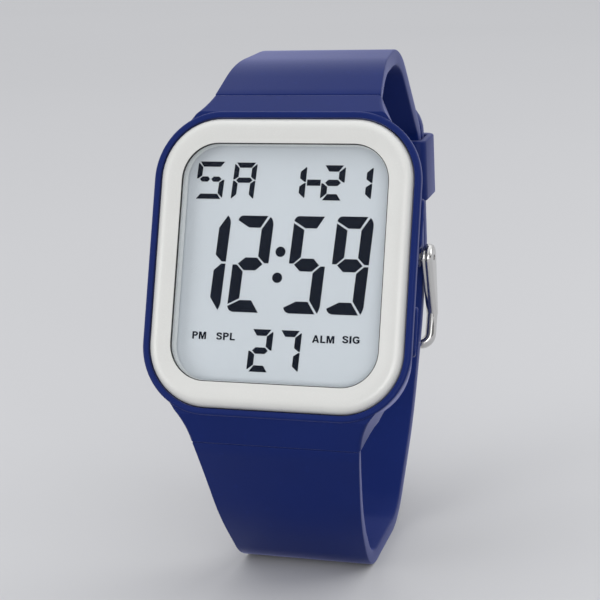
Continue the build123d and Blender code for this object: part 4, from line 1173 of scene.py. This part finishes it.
time_outlines = [
    slanted(TIME_SEGMENTS[segment], middle, base, TIME_HEIGHT, TIME_SLANT)
    for middle, base, lit in TIME_FIGURES
    for segment in lit
]
for side in (1, -1):
    dot = (COLON[0] + tan(radians(TIME_SLANT)) * side * COLON[1], side * COLON[1])
    time_outlines.append([moved(dot, 2 * pi * step / 32, COLON[2]) for step in range(32)])
printed("time_figures", time_outlines, ["time_digits"])

dash = [
    (across * DASH[2] / 2, (1 + up) * DASH[3] / 2)
    for across, up in ((-1, -1), (1, -1), (1, 1), (-1, 1))
]
dash = slanted(dash, DASH[0], DASH[1] - DASH[3] / 2, DASH[3], DAY_AND_DATE[-1][-2])
printed("date_figures", small_figures(DAY_AND_DATE) + [dash], ["date_digits"])
printed("seconds_figures", small_figures(SECONDS), ["seconds_digits"])


# Small words of the display

def stroke(line):
    """Outline of a letter's stroke along a line."""
    points = [Vector(point) for point in line]
    sides = ([], [])
    for number, point in enumerate(points):
        before = (point - points[max(number - 1, 0)]).normalized()
        after = (points[min(number + 1, len(points) - 1)] - point).normalized()
        along = (before + after).normalized()
        across = Vector((-along.y, along.x)) * LETTER_STROKE / 2
        reach = max((along.dot(after) if after.length else along.dot(before)), 0.6)
        sides[0].append(tuple(point + across / reach))
        sides[1].append(tuple(point - across / reach))
    return sides[0] + sides[1][::-1]


def letters(text, left, right, low, high):
    """Outlines of a word that fills a rectangle of the face."""
    length = sum(LETTERS[letter][0] for letter in text) + LETTER_GAP * (len(text) - 1)
    outlines = []
    begin = 0.0
    for letter in text:
        width, plates, lines = LETTERS[letter]
        for outline in plates + [stroke(line) for line in lines]:
            outlines.append([
                (left + (right - left) * (begin + x) / length, low + (high - low) * up)
                for x, up in outline
            ])
        begin += width + LETTER_GAP
    return outlines


for text, edges in INDICATORS.items():
    printed("indicator_" + text.lower(), letters(text, *edges))

# Floor
start()
bpy.ops.mesh.primitive_plane_add(size=8.0)
floor = bpy.context.object
floor.name = "floor"
pale = Finish("pale floor", (0.60, 0.60, 0.61), 0.8, Specular_IOR_Level=0.0)
tone = pale.mix(pale.noise(400.0, 2.0), (0.585, 0.585, 0.595), (0.615, 0.615, 0.625))
pale.set("Base Color", tone)
bounce = pale.node("ShaderNodeBsdfDiffuse", {}, {"Color": (0.26, 0.26, 0.27, 1.0)})
camera_ray, glossy_ray, through_ray = (
    pale.node("ShaderNodeLightPath", {}, {}, f"Is {kind} Ray")
    for kind in ("Camera", "Glossy", "Transmission")
)
shown = camera_ray + glossy_ray + through_ray
pale.surface(
    pale.node("ShaderNodeMixShader", {}, {0: shown, 1: bounce, 2: Field(pale.shader.outputs[0])})
)
floor.data.materials.append(pale.material)

# Light: square area lamps that look at the watch, and a sky that brightens upwards
for name, (place, size, watts) in LAMPS.items():
    lamp = bpy.data.lights.new(name, "AREA")
    lamp.energy = watts
    lamp.size = size
    holder = bpy.data.objects.new(name, lamp)
    bpy.context.collection.objects.link(holder)
    holder.location = place
    aim = Vector(LAMP_TARGET) - Vector(place)
    holder.rotation_euler = aim.to_track_quat("-Z", "Y").to_euler()

world = bpy.data.worlds.new("studio")
bpy.context.scene.world = world
world.use_nodes = True
world.node_tree.nodes.clear()
sky = Tree(world.node_tree)
ray = sky.node("ShaderNodeTexCoord", {}, {}, "Generated")
depth = sky.node("ShaderNodeSeparateXYZ", {}, {0: ray}, "Y")
height = sky.node("ShaderNodeSeparateXYZ", {}, {0: ray}, "Z")
behind = sky.ramp(depth, -0.25, 0.55)
above = sky.ramp(height, 0.12, 1.0)
light = SKY_LOW + behind * SKY_BEHIND + above * SKY_ABOVE
seen = sky.node("ShaderNodeLightPath", {}, {}, "Is Camera Ray")
sockets = {"Color": (0.97, 0.98, 1.0, 1.0), "Strength": light * (1 - seen) + seen * BACKDROP}
glow = sky.node("ShaderNodeBackground", {}, sockets)
world_output = sky.tree.nodes.new("ShaderNodeOutputWorld")
connect(sky.tree, world_output.inputs["Surface"], glow)

# Camera
camera_back = Vector((
    sin(CAMERA_AZIMUTH) * cos(CAMERA_ELEVATION),
    -cos(CAMERA_AZIMUTH) * cos(CAMERA_ELEVATION),
    sin(CAMERA_ELEVATION),
))
level_right = (-camera_back).cross(Vector((0, 0, 1))).normalized()
level_up = level_right.cross(-camera_back)
camera_right = cos(CAMERA_ROLL) * level_right + sin(CAMERA_ROLL) * level_up
camera_up = cos(CAMERA_ROLL) * level_up - sin(CAMERA_ROLL) * level_right
camera_spot = (
    camera_back * CAMERA_DISTANCE - camera_right * CAMERA_SIDE - camera_up * CAMERA_RISE
) * MM
camera = bpy.data.objects.new("camera", bpy.data.cameras.new("camera"))
bpy.context.collection.objects.link(camera)
axes = Matrix((camera_right, camera_up, camera_back)).transposed().to_4x4()
camera.matrix_world = watch_place @ Matrix.Translation(camera_spot) @ axes
camera.data.lens = CAMERA_LENS
camera.data.sensor_width = CAMERA_SENSOR
camera.data.clip_start = 0.01
camera.data.clip_end = 20.0
bpy.context.scene.camera = camera
bpy.context.scene.cycles.transparent_max_bounces = 32  # light gets through lens and glass
bpy.context.scene.view_settings.view_transform = "Standard"
